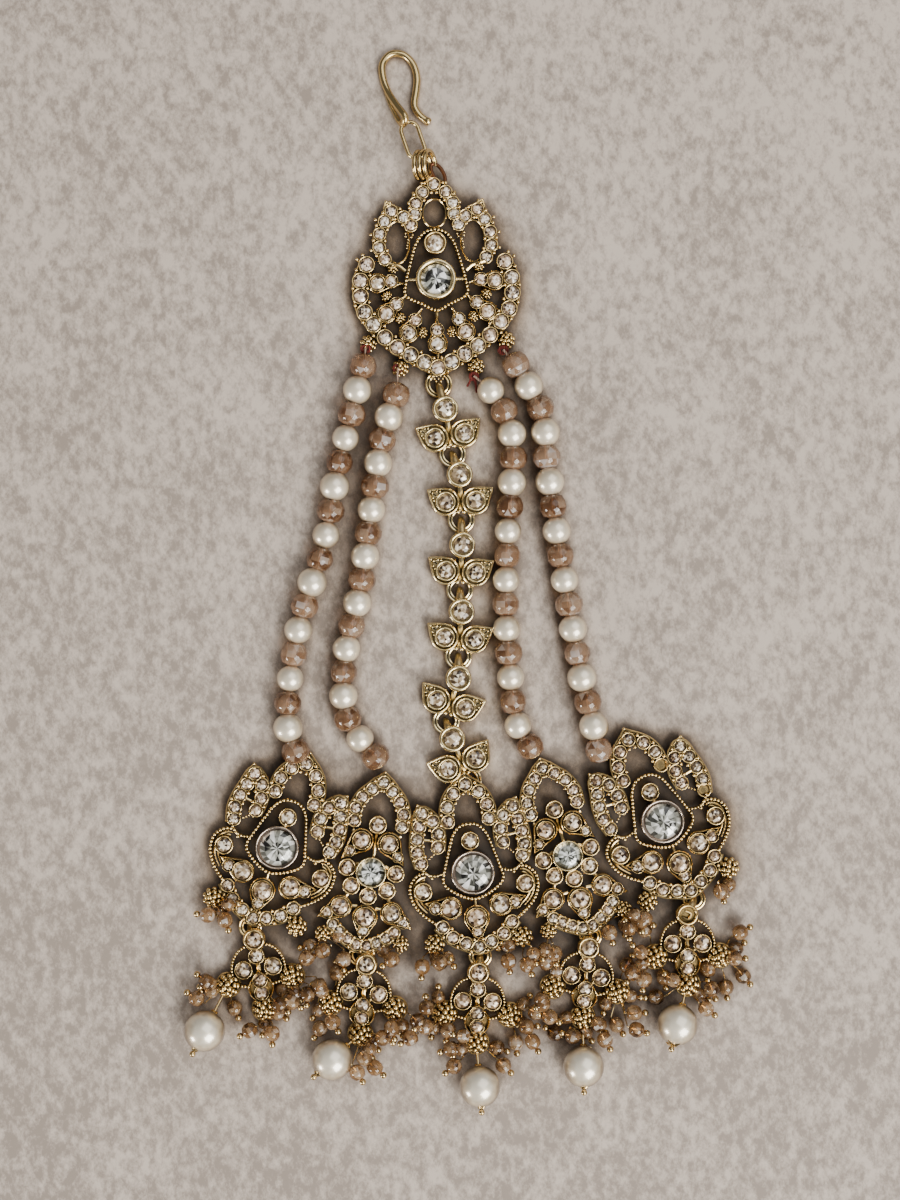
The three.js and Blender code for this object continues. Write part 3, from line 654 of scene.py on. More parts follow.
def stone_row(metal, gems, painted_gleam, places, radius, empty, ridge):
    """A line of stones, each in a round cup on a narrower strip, with grains between them along its edges.

    empty: numbers of the cups without a stone. ridge: 1 for a smooth ridge along the strip's left edge, -1
    for one along its right edge, 0 for none.
    """
    ends = [np.array(end) * 1.3 - np.array(beyond) * 0.3 for end, beyond in (places[:2], places[:-3:-1])]
    path = spline([ends[0], *places, ends[1]], 6)
    half = radius + 0.08
    right = [(half - 0.1, STRIP_BOTTOM), (half, STRIP_BOTTOM + 0.3), (half, STRIP_TOP - 0.2),
             (half - 0.1, STRIP_TOP - 0.08), (half - 0.22, STRIP_TOP - 0.15), (half - 0.28, STRIP_TOP - 0.45)]
    left = on_side(-1, right)[::-1]
    ribbon(metal, path, [left[-1], *right, *left[:-1]][::-1])
    if ridge:
        tube(metal, raised(beside(path, ridge * (radius + 0.24)), STRIP_TOP - 0.12), 0.15, 6)
    for i, (x, y) in enumerate(places):
        collar(metal, x, y, radius + 0.2, radius - 0.02, STRIP_BOTTOM + 0.1, STRIP_TOP + 0.02, 20)
        if i not in empty:
            stone(gems, x, y, STRIP_TOP, radius - 0.14, painted_gleam)
    for here, there in zip(places, places[1:]):
        prongs(metal, here, there, radius + 0.02)


def gable(metal, left, tip, right):
    """The pointed end of a petal: a flat corner with a ridge along its two edges, outside a row's cups."""
    left, tip, right = (np.array(p, float) for p in (left, tip, right))
    foot = (left + right) / 2 - (tip - (left + right) / 2) * 0.2
    anticlockwise = np.cross(right - left, tip - left) > 0
    outline = [left, foot, right, tip] if anticlockwise else [right, foot, left, tip]
    rings_of(metal, [raised(outline, STRIP_BOTTOM), raised(outline, STRIP_TOP - 0.25)], smooth=False)
    edge = STRIP_TOP - 0.2
    for end in (left, right):
        tube(metal, [(*end, edge), (*((end + tip) / 2), edge + 0.08), (*tip, edge)], 0.17, 6)
    ball(metal, *tip, edge, 0.24)
    ball(metal, *(tip * 0.62 + foot * 0.38), STRIP_TOP - 0.15, 0.27)


def rope(metal, path, radius=GRAIN, closed=False):
    """A row of grains on a thin strip."""
    half, level = radius * 0.62, STRIP_TOP - 0.05
    section = [(-half, STRIP_BOTTOM), (-half, level - 0.12), (half, level - 0.12), (half, STRIP_BOTTOM)]
    ribbon(metal, path, section, closed)
    for x, y in evenly(path, radius * 1.8, closed):
        ball(metal, x, y, level + 0.05, radius * 0.9)


def sides_of(x):
    """Both sides for a place off the centre line, and one for a place on it."""
    return (1,) if x == 0 else (1, -1)


def bars(metal, rows):
    """Round rods, as (start, end, radius, level). Those off the centre line stand for both sides."""
    for start, end, radius, level in rows:
        for side in sides_of(start[0]):
            tube(metal, raised(on_side(side, (start, end)), level), radius)


FLOWER_ROWS = [
    # grains, their distance from the middle as a share of the radius, their height
    (9, 0.76, 0.95), (7, 0.54, 1.5), (3, 0.24, 2.0),
]


def flower(metal, x, y, radius, lift):
    """A rosette of grains that rises towards its middle."""
    lathe(metal, [(radius * 0.5, STRIP_BOTTOM), (radius * 0.8, 0.6), (radius * 0.72, 1.0 + lift),
                  (radius * 0.4, 1.6 + lift), (radius * 0.1, 1.9 + lift)], x, y, 12)
    phase = luck.uniform(0, 1)
    for count, share, level in FLOWER_ROWS:
        for dx, dy in circle(count, radius * share, phase):
            ball(metal, x + dx, y + dy, level + lift + luck.uniform(-0.1, 0.1), radius * 0.262)
        phase += 0.35


def grain_patch(metal, tip, root, width, level):
    """Rows of grains that widen from a tip to a root."""
    tip, root = np.array(tip, float), np.array(root, float)
    along = root - tip
    length = np.linalg.norm(along)
    along /= length
    across = np.array([-along[1], along[0]])
    rows = max(2, int(length / 0.42))
    for row in range(rows):
        share = (row + 0.4) / rows
        half = width * share / 2
        count = max(1, round(2 * half / 0.5))
        for i in range(count):
            offset = 0.0 if count == 1 else -half + 2 * half * i / (count - 1)
            x, y = tip + along * length * share + across * offset
            ball(metal, x, y, level + luck.uniform(-0.04, 0.06), 0.2)


def teardrop(centre, radius, tip, spread_angle=62.0, fullness=0.95):
    """The outline of a leaf or pear: a round end about a centre, drawn out with full sides to a tip."""
    centre, tip = np.array(centre, float), np.array(tip, float)
    aim = math.atan2(tip[1] - centre[1], tip[0] - centre[0])
    reach = np.linalg.norm(tip - centre)
    half_gap = math.radians(spread_angle)
    angles = np.linspace(half_gap, 2 * math.pi - half_gap, 22)
    arc = [centre + radius * np.array([math.cos(aim + a), math.sin(aim + a)]) for a in angles]
    out = arc[-1]
    heading = np.array([-math.sin(aim - half_gap), math.cos(aim - half_gap)])
    bend = out + heading * (reach - radius * math.cos(half_gap)) * 0.5 * fullness
    side = [out * (1 - t) ** 2 + bend * 2 * t * (1 - t) + tip * t ** 2 for t in np.linspace(0.12, 0.94, 7)]
    axis = np.array([math.cos(aim), math.sin(aim)])
    other_side = [2 * (centre + axis * np.dot(p - centre, axis)) - p for p in side]
    return np.array([*arc, *side, tip, *other_side[::-1]])


def two_stone_leaf(metal, gems, painted_gleam, big, small, tip, radii, outline_radius):
    """A pear-shaped tray with a large stone at its round end and a small one towards its tip."""
    outline = teardrop(big, outline_radius, tip)
    tray(metal, outline, STRIP_BOTTOM, STRIP_TOP + 0.12, rim=0.3, floor=STRIP_TOP - 0.8)
    setting(metal, gems, *big, radii[0] + 0.2, radii[0], top=STRIP_TOP + 0.32, bright=painted_gleam + 0.06)
    setting(metal, gems, *small, radii[1] + 0.15, radii[1], top=STRIP_TOP + 0.28, bright=painted_gleam)


# ---- medallions ----

# Places are (x, y) from a medallion's main stone, with its top petal towards +y. Those off the centre line
# stand for both sides. What a design holds:
#   bezel: outer radius, radius inside its lip, radius of the main stone
#   upper, rounds: x, y, radius of the collar, radius of the stone
#   whole_rows, side_rows: places of the stones, their radius
#   leaves: large stone, small stone, tip, radii of the two stones, radius of the outline
#   gables: left, tip and right of a petal's corner
#   flowers, loops: x, y, radius. Small crystals hang from the first loop
#   bars: start, end, radius, height
#   ring: x, y, outer radius

TOP_DESIGN = {
    "bezel": (3.26, 2.55, 2.4),
    "upper": (0.0, 5.95, 1.84, 1.42),
    "rope": [(0, 8.1), (1.7, 7.6), (2.94, 6.1), (3.98, 2.94), (4.8, -0.24), (4.95, -2.33), (2.2, -3.9),
             (0, -4.9)],
    "whole_rows": [
        ([(0, -14.1), (2.18, -13.2), (4.37, -11.95), (6.49, -10.7), (8.45, -9.06), (10.25, -6.9),
          (11.63, -4.9), (12.22, -2.33), (12.18, 0.12), (11.12, 2.74)], 1.16),
        ([(0, 15.4), (1.87, 14.15), (2.98, 12.37), (3.18, 10.6)], 0.92),
    ],
    "side_rows": [
        ([(3.86, 8.84), (4.96, 10.2), (6.92, 11.2), (8.05, 9.6), (8.89, 7.57), (9.02, 5.4),
          (8.14, 3.5)], 0.92),
    ],
    "leaves": [
        ((9.45, -0.3), (7.2, -0.1), (5.0, -0.5), (1.12, 0.96), 1.62),
        ((8.15, -5.25), (6.45, -3.75), (4.75, -2.3), (1.12, 0.96), 1.62),
        ((4.6, -8.4), (3.5, -6.4), (2.3, -4.3), (1.12, 0.96), 1.62),
        ((0, -10.3), (0, -8.05), (0, -5.6), (1.12, 0.96), 1.62),
    ],
    "gables": [((6.6, 12.1), (7.75, 12.75), (8.1, 11.5))],
    "rounds": [],
    "flowers": [(6.9, 2.2, 0.95), (8.0, -2.35, 0.95), (5.9, -5.9, 0.95), (2.45, -8.3, 0.95)],
    "loops": [(11.1, -9.9, 1.45), (6.1, -14.0, 1.45)],
    "bars": [((3.0, 0.1), (4.4, 0.1), 0.3, 1.6), ((0, -5.0), (0, -6.2), 0.24, 1.3),
             ((0, -11.6), (0, -13.2), 0.24, 1.3)],
    "ring": (0.0, -16.7, 2.2),
}

BIG_DESIGN = {
    "bezel": (3.45, 3.17, 2.86),
    "upper": (0.0, 5.0, 1.47, 1.18),
    "rope": [(0, 7.75), (1.5, 7.4), (2.6, 6.2), (3.5, 3.7), (4.5, 0.4), (4.85, -1.2), (4.1, -2.4),
             (0, -4.35)],
    "whole_rows": [
        ([(0, 14.1), (2.04, 12.75), (3.2, 10.66), (3.3, 8.3)], 0.98),
        ([(0, -12.1), (2.04, -11.4), (4.1, -10.3), (5.6, -8.5)], 0.96),
    ],
    "side_rows": [
        ([(5.25, 4.4), (5.05, 6.5), (5.7, 8.6), (7.3, 9.95), (7.95, 7.9), (8.45, 5.9), (8.6, 3.8),
          (8.15, 1.95)], 0.96),
    ],
    "leaves": [
        ((0, -7.45), (0, -9.6), (0, -11.3), (1.5, 0.85), 2.1),
        ((4.08, -5.55), (6.45, -5.35), (8.4, -4.4), (1.45, 0.9), 1.9),
    ],
    "gables": [((-1.9, 14.5), (0, 15.95), (1.9, 14.5)), ((6.0, 10.5), (7.95, 11.35), (8.7, 9.5))],
    "rounds": [(8.25, -2.55, 1.5, 1.2)],
    "flowers": [],
    "loops": [(7.1, -11.1, 1.75)],
    "bars": [((6.1, 5.5), (7.4, 5.7), 0.25, 1.6), ((6.3, -9.4), (6.6, -10.2), 0.3, 1.2),
             ((0, 3.3), (0, 3.9), 0.22, 1.7), ((0, -4.3), (0, -5.6), 0.22, 1.4)],
    "ring": (0.0, -13.7, 1.9),
}

SMALL_DESIGN = {
    "bezel": (2.45, 2.24, 2.12),
    "upper": (0.0, 7.6, 1.46, 1.12),
    "rope": None,
    "whole_rows": [
        ([(0, 14.5), (1.62, 13.2), (3.03, 11.7), (3.85, 9.8), (3.85, 7.8)], 0.92),
        ([(0.84, -11.95), (2.4, -11.2), (3.8, -10.25), (4.95, -9.2)], 0.88),
    ],
    "side_rows": [],
    "leaves": [
        ((2.25, 4.8), (3.9, 2.9), (5.1, 1.5), (1.3, 0.75), 1.95),
        ((4.15, -6.2), (6.2, -7.4), (7.8, -8.4), (1.35, 0.85), 1.85),
        ((0, -7.4), (0, -9.55), (0, -11.4), (1.5, 0.85), 2.05),
    ],
    "gables": [((-1.6, 14.9), (0, 16.1), (1.6, 14.9))],
    "rounds": [(3.95, 0.2, 1.42, 1.12), (2.9, -2.65, 1.42, 1.12), (0, -3.95, 1.42, 1.12)],
    "flowers": [],
    "loops": [(6.3, -10.9, 1.4)],
    "bars": [((2.1, 1.1), (3.0, 0.7), 0.3, 1.3), ((1.6, -1.6), (2.2, -2.0), 0.3, 1.3),
             ((3.2, -3.9), (3.6, -4.6), 0.3, 1.3), ((1.5, -5.8), (2.6, -5.9), 0.3, 1.3),
             ((5.1, -8.2), (5.6, -9.8), 0.35, 1.2), ((3.9, 6.3), (3.4, 5.9), 0.35, 1.2),
             ((1.0, 6.5), (1.6, 6.0), 0.3, 1.2), ((0, 2.2), (0, 6.3), 0.3, 0.7),
             ((0, -5.2), (0, -2.3), 0.3, 0.7)],
    "ring": (0.0, -13.6, 1.9),
}


def grooved_ring(metal, x, y, outer):
    """A flat ring with two round ridges."""
    inner, count = outer - 0.86, 28
    low_in, low_out = (inner + 0.1, 0.1), (outer - 0.1, 0.1)
    lathe(metal, [low_in, (inner + 0.1, 0.6), (outer - 0.1, 0.6), low_out, low_in], x, y, count)
    for radius in (inner + 0.2, outer - 0.2):
        tube(metal, raised(oval(x, y, radius, radius, count), 0.78), 0.2, closed=True)


def main_setting(metal, bezel):
    """The deep cup of a main stone."""
    outer, inner, _ = bezel
    edge = lip(outer, inner, 3.1, 9)
    lathe(metal, [(outer * 0.95, 0.1), (outer, 0.5), *edge, (inner, 1.5), (0.02, 1.5)], 0, 0, 48)


TOP_GRAINS = [
    # x, y and height of the grains about the petals of the top medallion
    (7.1, 12.6, 1.5), (9.5, 9.9, 1.5), (10.3, 7.5, 1.5), (10.3, 5.0, 1.5), (11.7, 4.3, 1.5), (12.6, 3.6, 1.5),
    (1.9, 15.6, 1.6), (3.3, 14.0, 1.6), (4.1, 12.4, 1.6), (4.2, 10.4, 1.6), (3.0, 8.6, 1.6),
]


def top_details(metal):
    """What only the top medallion has: oval wire frames, curls and grains at its tips."""
    wire = [(-0.13, 0.5), (-0.13, 1.4), (0.0, 1.5), (0.13, 1.4), (0.13, 0.5)]
    ribbon(metal, oval(0, 10.75, 1.9, 2.3, 32), wire, closed=True)
    for side in (1, -1):
        ribbon(metal, oval(side * 6.1, 6.2, 1.95, 3.4, 32), wire, closed=True)
        curl = spline(on_side(side, [(8.2, 3.0), (7.0, 2.6), (5.9, 2.3), (4.9, 1.5)]), 6)
        tube(metal, raised(curl, 1.5), 0.33)
        grain_patch(metal, (side * 4.6, 5.0), (side * 4.1, 7.7), 1.3, 1.7)
        for x, y, level in TOP_GRAINS:
            ball(metal, side * x, y, level, 0.3)
    grain_patch(metal, (0, -16.9), (0, -15.2), 2.2, 1.5)


BIG_CURL = [
    (6.6, -0.5), (7.5, 0.35), (8.9, 0.1), (10.1, -1.2), (10.3, -2.9), (9.7, -4.8), (8.3, -6.5), (6.7, -7.8),
]


def big_details(metal):
    """What only the large lower medallions have: tails, and rope-edged curls with two swelling ridges."""
    for side in (1, -1):
        path = spline(on_side(side, BIG_CURL), 6)
        for offset, level, radius in ((0.62, 1.35, 0.26), (1.12, 1.2, 0.24)):
            crescent = beside(path, -side * offset)[4:-6]
            swell = radius * np.sin(np.linspace(0.12, math.pi - 0.12, len(crescent))) ** 0.5
            tube(metal, raised(crescent, level), swell)
        rope(metal, path)
        tail = on_side(side, [(8.2, 1.2), (7.3, 0.2), (6.1, -0.2), (4.7, 0.1)])
        rope(metal, spline(tail, 6), 0.28)
        grain_patch(metal, (side * 6.9, 2.5), (side * 5.4, 3.8), 0.9, 1.6)


def small_settings(metal, gems, design, painted_gleam, empty):
    """Every small stone of a medallion with its setting, and the rope and the petals' corners among them."""
    top = design is TOP_DESIGN
    setting(metal, gems, *design["upper"], bright=painted_gleam + 0.06)
    if design["rope"]:
        half = design["rope"]
        loop = half + on_side(-1, half[1:-1])[::-1]
        rope(metal, spline(loop[::-1], 7, closed=True), closed=True)
    for number, (half, radius) in enumerate(design["whole_rows"]):
        outward = 0 if top else 1 if half[0][1] > 0 else -1
        stone_row(metal, gems, painted_gleam, both(half), radius, empty.get(number, ()), outward)
    for half, radius in design["side_rows"]:
        for side, key in ((1, "right"), (-1, "left")):
            row, ridge = on_side(side, half), 0 if top else side
            stone_row(metal, gems, painted_gleam, row, radius, empty.get(key, ()), ridge)
    for corner in design["gables"]:
        for side in sides_of(corner[1][0]):
            gable(metal, *on_side(side, corner))
    for *places, radii, outline in design["leaves"]:
        for side in sides_of(places[0][0]):
            two_stone_leaf(metal, gems, painted_gleam, *on_side(side, places), radii, outline)
    for x, y, outer, glass in design["rounds"]:
        for side in sides_of(x):
            setting(metal, gems, side * x, y, outer, glass, bright=painted_gleam + 0.04)


def medallion(name, design, at, turn, empty, painted_gleam, painted_sparkle):
    """A pierced casting. Its small stones, its main stone and that stone's cup are pieces of their own."""
    top, big = design is TOP_DESIGN, design is BIG_DESIGN
    metal, gems, heart, cup = Body(), Body(), Body(), Body()
    main_setting(cup, design["bezel"])
    small_settings(metal, gems, design, painted_gleam, empty)
    for x, y, radius in design["flowers"] + design["loops"]:
        for side in (1, -1):
            flower(metal, side * x, y, radius, 0.0 if top else 0.5)
    grooved_ring(metal, *design["ring"])
    bars(metal, design["bars"])
    if top:
        top_details(metal)
    elif big:
        big_details(metal)
    shift = 0.1 if big else 0.0
    main_stone(heart, shift, -shift, 2.3, design["bezel"][2], *painted_sparkle)
    cup.piece(f"main_cup_{name}", ROSE_METAL if big else LINK_GOLD, "medallions", at, turn)
    node, jewel = ("top_medallion", "top_stone") if top else (f"medallion_{name}", f"stone_{name}")
    metal.piece(f"casting_{name}", GOLD, "medallions", at, turn, [node])
    gems.piece(f"pave_{name}", PALE_PAVE if top else PAVE, "medallions", at, turn)
    heart.piece(f"main_stone_{name}", CLEAR, "main_stones", at, turn, [jewel])


# ---- chain links ----

def peg(body, toward, head):
    """The round peg that comes out of a head and dips into the ring above."""
    toward = np.array(toward, float)
    reach = np.linalg.norm(toward)
    along = toward / reach
    path = [(*(along * head * 0.7), OVER_RING + 0.55), (*(along * (reach - 0.9)), OVER_RING + 0.4),
            (*(along * (reach - 0.25)), 0.95), (*(along * (reach + 0.1)), 0.3)]
    tube(body, spline(path, 4), np.linspace(0.68, 0.5, 13), 12)


def chain_link(name, at, turn, toward):
    """A link below its head: a bar, two leaves and a ring. toward: where its peg goes, from its head."""
    metal, gems, pegs = Body(), Body(), Body()
    head = 2.1
    setting(metal, gems, 0, 0, head, 1.44, bottom=OVER_RING, top=2.85, tint=0.2)
    peg(pegs, toward, head)
    grooved_ring(metal, *LINK_RING)
    bars(metal, [((0, -1.6), (0, -5.6), 0.5, 0.7)])
    for side in (1, -1):
        centre, tip = (side * 2.42, -4.3), (side * 5.35, -2.2)
        outline = teardrop(centre, 2.26, tip, spread_angle=56, fullness=1.12)
        tray(metal, outline, bottom=0.15, top=2.05, rim=0.38, floor=1.45)
        setting(metal, gems, *centre, 1.62, 1.27, bottom=0.5, top=2.15, tint=0.2)
        grain_patch(metal, (side * 5.0, -2.5), (side * 3.5, -3.5), 2.0, 1.75)
        ball(metal, side * 0.45, -6.0, 1.3, 0.33)
    metal.piece(f"link_{name}", LINK_GOLD, "chain_links", at, turn, [f"chain_link_{name}"])
    gems.piece(f"link_stones_{name}", PAVE, "chain_links", at, turn)
    pegs.piece(f"link_peg_{name}", PEG_BRASS, "chain_links", at, turn)


# ---- drops ----

DROP_FLOWERS = {"left": (-5.2, -6.8), "right": (5.2, -6.8), "bottom": (0.0, -11.3)}
DROP_FLOWER = 1.95          # radius of a drop's flower
PILE = []                   # the middles of the small crystals that are in place
PILE_TOP = 3.4              # how high one may come to lie


class Beadwork:
    """The small crystals of one casting, on head pins that hang from its flowers. They lie in a pile."""

    def __init__(self, name):
        self.name, self.glass, self.pins = name, Body(), Body()

    def hang(self, flower_at, degrees, reach, pin_degrees, radius=1.28, half=1.22):
        """One crystal at a reach from its flower, lifted over those that it would run into."""
        out = turned((1.0, 0.0), degrees) * reach + flower_at
        level, near = radius, 2.4 * radius
        for x, y, z in PILE:
            apart = math.hypot(out[0] - x, out[1] - y)
            if apart < near:
                level = max(level, min(z + math.sqrt(near ** 2 - apart ** 2) * 0.7, PILE_TOP))
        PILE.append((*out, level))
        middle = np.array([*out, level])
        along = np.array([*turned((1.0, 0.0), pin_degrees), luck.uniform(-0.15, 0.1)])
        facet_bead(self.glass, middle, along, radius, half)
        end, start = middle + along * (half + 0.55), middle - along * (half + 0.35)
        tube(self.pins, [start, middle, end], 0.12, 6)
        ball(self.pins, *end, 0.56, PIN_BALL)
        edge = turned((DROP_FLOWER * 0.7, 0.0), degrees) + flower_at
        loop = spline([start, (start + (*edge, 0.6)) / 2 - (0, 0, 0.3), (*edge, 0.7)], 5)
        tube(self.pins, loop, 0.09, 6)

    def fill(self, flower_at, beads):
        """What hangs from a flower: first some crystals close under it, and then those of the list."""
        for degrees, _, _ in beads[:2]:
            aside = degrees + luck.choice((-1, 1)) * luck.uniform(22, 48)
            self.hang(flower_at, aside, luck.uniform(2.2, 3.0), aside + luck.uniform(-30, 30), 1.15, 1.1)
        for bead in beads:
            self.hang(flower_at, *bead)

    def pieces(self, slot):
        if self.glass.points:
            self.glass.piece(f"crystals_of_{self.name}", CHAMPAGNE, slot)
            self.pins.piece(f"pins_of_{self.name}", PIN_GOLD, slot)


BEAD_ROWS = [
    # place along the hole, share of the radius, turn in half facets
    (-1.0, 0.34, 0), (-0.78, 0.76, 0), (-0.26, 1.0, 1), (0.26, 1.0, 1), (0.78, 0.76, 0), (1.0, 0.34, 0),
]


def facet_bead(body, middle, along, radius, half, count=8):
    """A round bead cut into two rows of kites and a band of triangles, its hole along its pin."""
    along = np.array(along) / np.linalg.norm(along)
    side, up = square_to(along)
    phase = luck.uniform(0, 1)
    rows = []
    for run, share, shift in BEAD_ROWS:
        corners = circle(count, share * radius, phase + shift * math.pi / count)
        rows.append([middle + along * run * half + c * side + s * up for c, s in corners])
    points = [p for row in rows for p in row]
    faces = [tuple(range(count)), tuple((len(rows) - 1) * count + i for i in range(count))[::-1]]
    for r in range(len(rows) - 1):
        a, b = r * count, (r + 1) * count
        shifted = BEAD_ROWS[r + 1][2] - BEAD_ROWS[r][2]
        for i in range(count):
            j = (i + 1) % count
            if shifted > 0:
                faces.extend([(a + i, b + i, a + j), (a + j, b + i, b + j)])
            elif shifted < 0:
                faces.extend([(a + i, b + i, b + j), (a + i, b + j, a + j)])
            else:
                faces.append((a + i, b + i, b + j, a + j))
    # A bead is lighter or darker as a whole, and its facets get painted glints: the one that faces the light
    # most a painted highlight.
    own = luck.gauss(0.42, 0.1)
    light = [luck.gauss(own, 0.2) for _ in faces]
    middles = [np.mean([points[i] for i in face], axis=0) - middle for face in faces]
    toward = (luck.uniform(-0.2, 0.4), luck.uniform(-0.5, 0.0), 1.0)
    facing = max(range(2, len(faces)), key=lambda i: np.dot(middles[i], toward))
    light[facing] = luck.uniform(0.6, 1.0)
    body.add(points, faces, smooth=False, glints=[min(1.0, max(0.0, share)) for share in light])


DROP_STONES = [
    # x, y, radius of the collar, radius of the stone, bottom and top of the collar, warmth: None is by luck
    (0, -2.7, 1.3, 1.1, 0.5, 2.35, None), (0, -6.65, 1.22, 1.06, 0.5, 2.15, None),
    (0, -8.7, 1.2, 1.04, 0.5, 2.1, 1.0), (2.4, -4.7, 1.45, 1.24, 0.4, 2.1, None),
]
DROP_BARS = [((0, -3.4), (0, -5.4), 0.4, 1.0), ((1.0, -3.4), (1.7, -4.0), 0.35, 1.1),
             ((0.9, -5.9), (1.7, -5.2), 0.35, 1.1), ((3.4, -5.0), (4.2, -5.2), 0.3, 1.1)]
DROP_EDGE = [(1.35, -0.9), (2.8, -1.6), (3.9, -3.0), (4.3, -4.8), (4.1, -6.2)]
LOST_STONE_WIRE = [(-0.8, -0.3, 2.4), (0.1, -0.7, 2.5), (0.6, 0.1, 2.4), (-0.3, 0.6, 2.4)]


def drop(name, at, turn, toward, beads, hollow_head):
    """A cast drop below its head, and its small crystals. A hollow head holds only a twist of wire.

    toward: where its peg goes, from its head. beads: what hangs from each flower.
    """
    metal, gems, pegs = Body(), Body(), Body()
    upper = teardrop((0, 0), 1.8, (0.1, -4.3), spread_angle=50, fullness=0.9)
    lower = teardrop((0, -8.0), 2.1, (0, -5.0), spread_angle=55, fullness=0.85)
    tray(metal, upper, bottom=1.0, top=2.25, rim=0.25, floor=1.6)
    tray(metal, lower, bottom=0.3, top=1.95, rim=0.26, floor=1.0)
    head = 1.66
    if hollow_head:
        collar(metal, 0, 0, head, 1.3, OVER_RING, 2.8)
        tube(metal, spline(LOST_STONE_WIRE, 5), 0.2, 6)
    else:
        setting(metal, gems, 0, 0, head, 1.26, OVER_RING, 2.8)
    peg(pegs, toward, 1.73)
    for x, y, *sizes, tint in DROP_STONES:
        for side in sides_of(x):
            setting(metal, gems, side * x, y, *sizes, tint=tint)
    bars(metal, DROP_BARS)
    for side in (1, -1):
        rope(metal, spline(on_side(side, DROP_EDGE), 6), 0.29)
        rope(metal, on_side(side, [(2.0, -7.5), (4.0, -7.0)]), 0.3)
    work = Beadwork(f"drop_{name}")
    for key, (x, y) in DROP_FLOWERS.items():
        flower(metal, x, y, DROP_FLOWER, 0.8)
        tube(metal, raised(oval(x, y, DROP_FLOWER, DROP_FLOWER, 20), 1.3), 0.16, 6, closed=True)
        work.fill(in_layout(at, turn, (x, y)), beads.get(key, ()))
    metal.piece(f"drop_casting_{name}", GOLD, "drops", at, turn, [f"drop_{name}"])
    gems.piece(f"drop_stones_{name}", PAVE, "drops", at, turn)
    pegs.piece(f"drop_peg_{name}", PEG_BRASS, "drops", at, turn)
    work.pieces("drops")


def petal_cap(body, middle, aim, distance, reach):
    """Four leaves of thin metal that hold a pearl at its hole."""
    side, up = square_to(aim)
    for c, s in circle(4, 1.0, math.pi / 4):
        out = c * side + s * up
        tip = middle + aim * (distance - 0.35) + out * reach
        heart = middle + aim * (distance + 0.08)
        tube(body, [heart, (heart + tip) / 2 + aim * 0.12, tip], (0.16, 0.3, 0.12), 8)


def drop_pearl(name, at, toward, cap):
    """A big pearl on its head pin, which slopes down to the flower that it hangs from."""
    pearl, pin = Body(), Body()
    ball(pearl, 0, 0, DROP_PEARL, DROP_PEARL, FINE_BALL)
    aim = np.array([*toward, PIN_LEVEL - DROP_PEARL])
    distance = np.linalg.norm(aim)
    aim /= distance
    middle = np.array([0.0, 0.0, DROP_PEARL])
    ends = [middle - aim * (DROP_PEARL + 0.75), middle + aim * max(distance - DROP_FLOWER, DROP_PEARL + 0.4)]
    tube(pin, [ends[0], middle, ends[1]], 0.24, 10)
    ball(pin, *ends[0], 0.5, PEARL_PIN_BALL)
    petal_cap(pin, middle, -aim, DROP_PEARL, cap)
    petal_cap(pin, middle, aim, DROP_PEARL, 0.9)
    pearl.piece(f"big_pearl_{name}", LARGE_NACRE, "drop_pearls", at, 0.0, [f"pearl_{name}"])
    pin.piece(f"pearl_pin_{name}", PIN_GOLD, "drop_pearls", at)


# ---- strings of beads ----

def knot_of_thread(body, x, y, level, ends):
    """A small knot: a few loops of thread, and loose ends in given directions."""
    for _ in range(4):
        tilt = luck.uniform(-0.6, 0.6)
        wide = luck.uniform(0.45, 0.75)
        start = luck.random()
        loop = [(x + wide * c, y + wide * s * 0.8, level + wide * tilt * c + 0.1 * s)
                for c, s in circle(14, 1.0, start)]
        tube(body, loop, 0.2, 6, closed=True)
    for degrees, length in ends:
        dx, dy = turned((length, 0.0), degrees)
        path = [(x, y, level), (x + dx * 0.5, y + dy * 0.4, level), (x + dx, y + dy, level - 0.5)]
        tube(body, spline(path, 5), 0.18, 6)


def string_of_beads(name, beads, first, knot, loose_ends, route):
    """Pearls and crystals by turns along a route, with a knot at their upper end."""
    path, lengths = measured(spline(route, 12))
    pearls, crystals, thread, knots = Body(), Body(), Body(), Body()
    step = lengths[-1] / (beads - 1)
    line = [(*knot, PEARL)]
    for i in range(beads):
        here = at_length(path, lengths, i * step)
        if (i % 2 == 0) == (first == "crystal"):
            ahead = at_length(path, lengths, min(i * step + 0.5, lengths[-1]))
            behind = at_length(path, lengths, max(i * step - 0.5, 0.0))
            radius = CRYSTAL * luck.uniform(0.95, 1.05)
            facet_bead(crystals, np.array([*here, radius]), [*(ahead - behind), 0.0], radius, CRYSTAL_HALF, 9)
        else:
            radius = PEARL * luck.uniform(0.95, 1.06)
            ball(pearls, *here, radius, radius, FINE_BALL)
        line.append((*here, PEARL))
    tube(thread, line, 0.18, 8)
    knot_of_thread(knots, *knot, 1.6, loose_ends)
    stretches = -(-beads // BEADS_PER_STRETCH)
    nodes = [f"strand_{name}_{i + 1}" for i in range(stretches)]
    pearls.piece(f"pearls_{name}", NACRE, "strand_beads", stands_for=nodes)
    crystals.piece(f"crystals_{name}", PEACH, "strand_beads")
    thread.piece(f"thread_{name}", THREAD, "strand_beads")
    knots.piece(f"knot_{name}", RED_THREAD, "strand_beads")


# ---- hook, link and coil ----

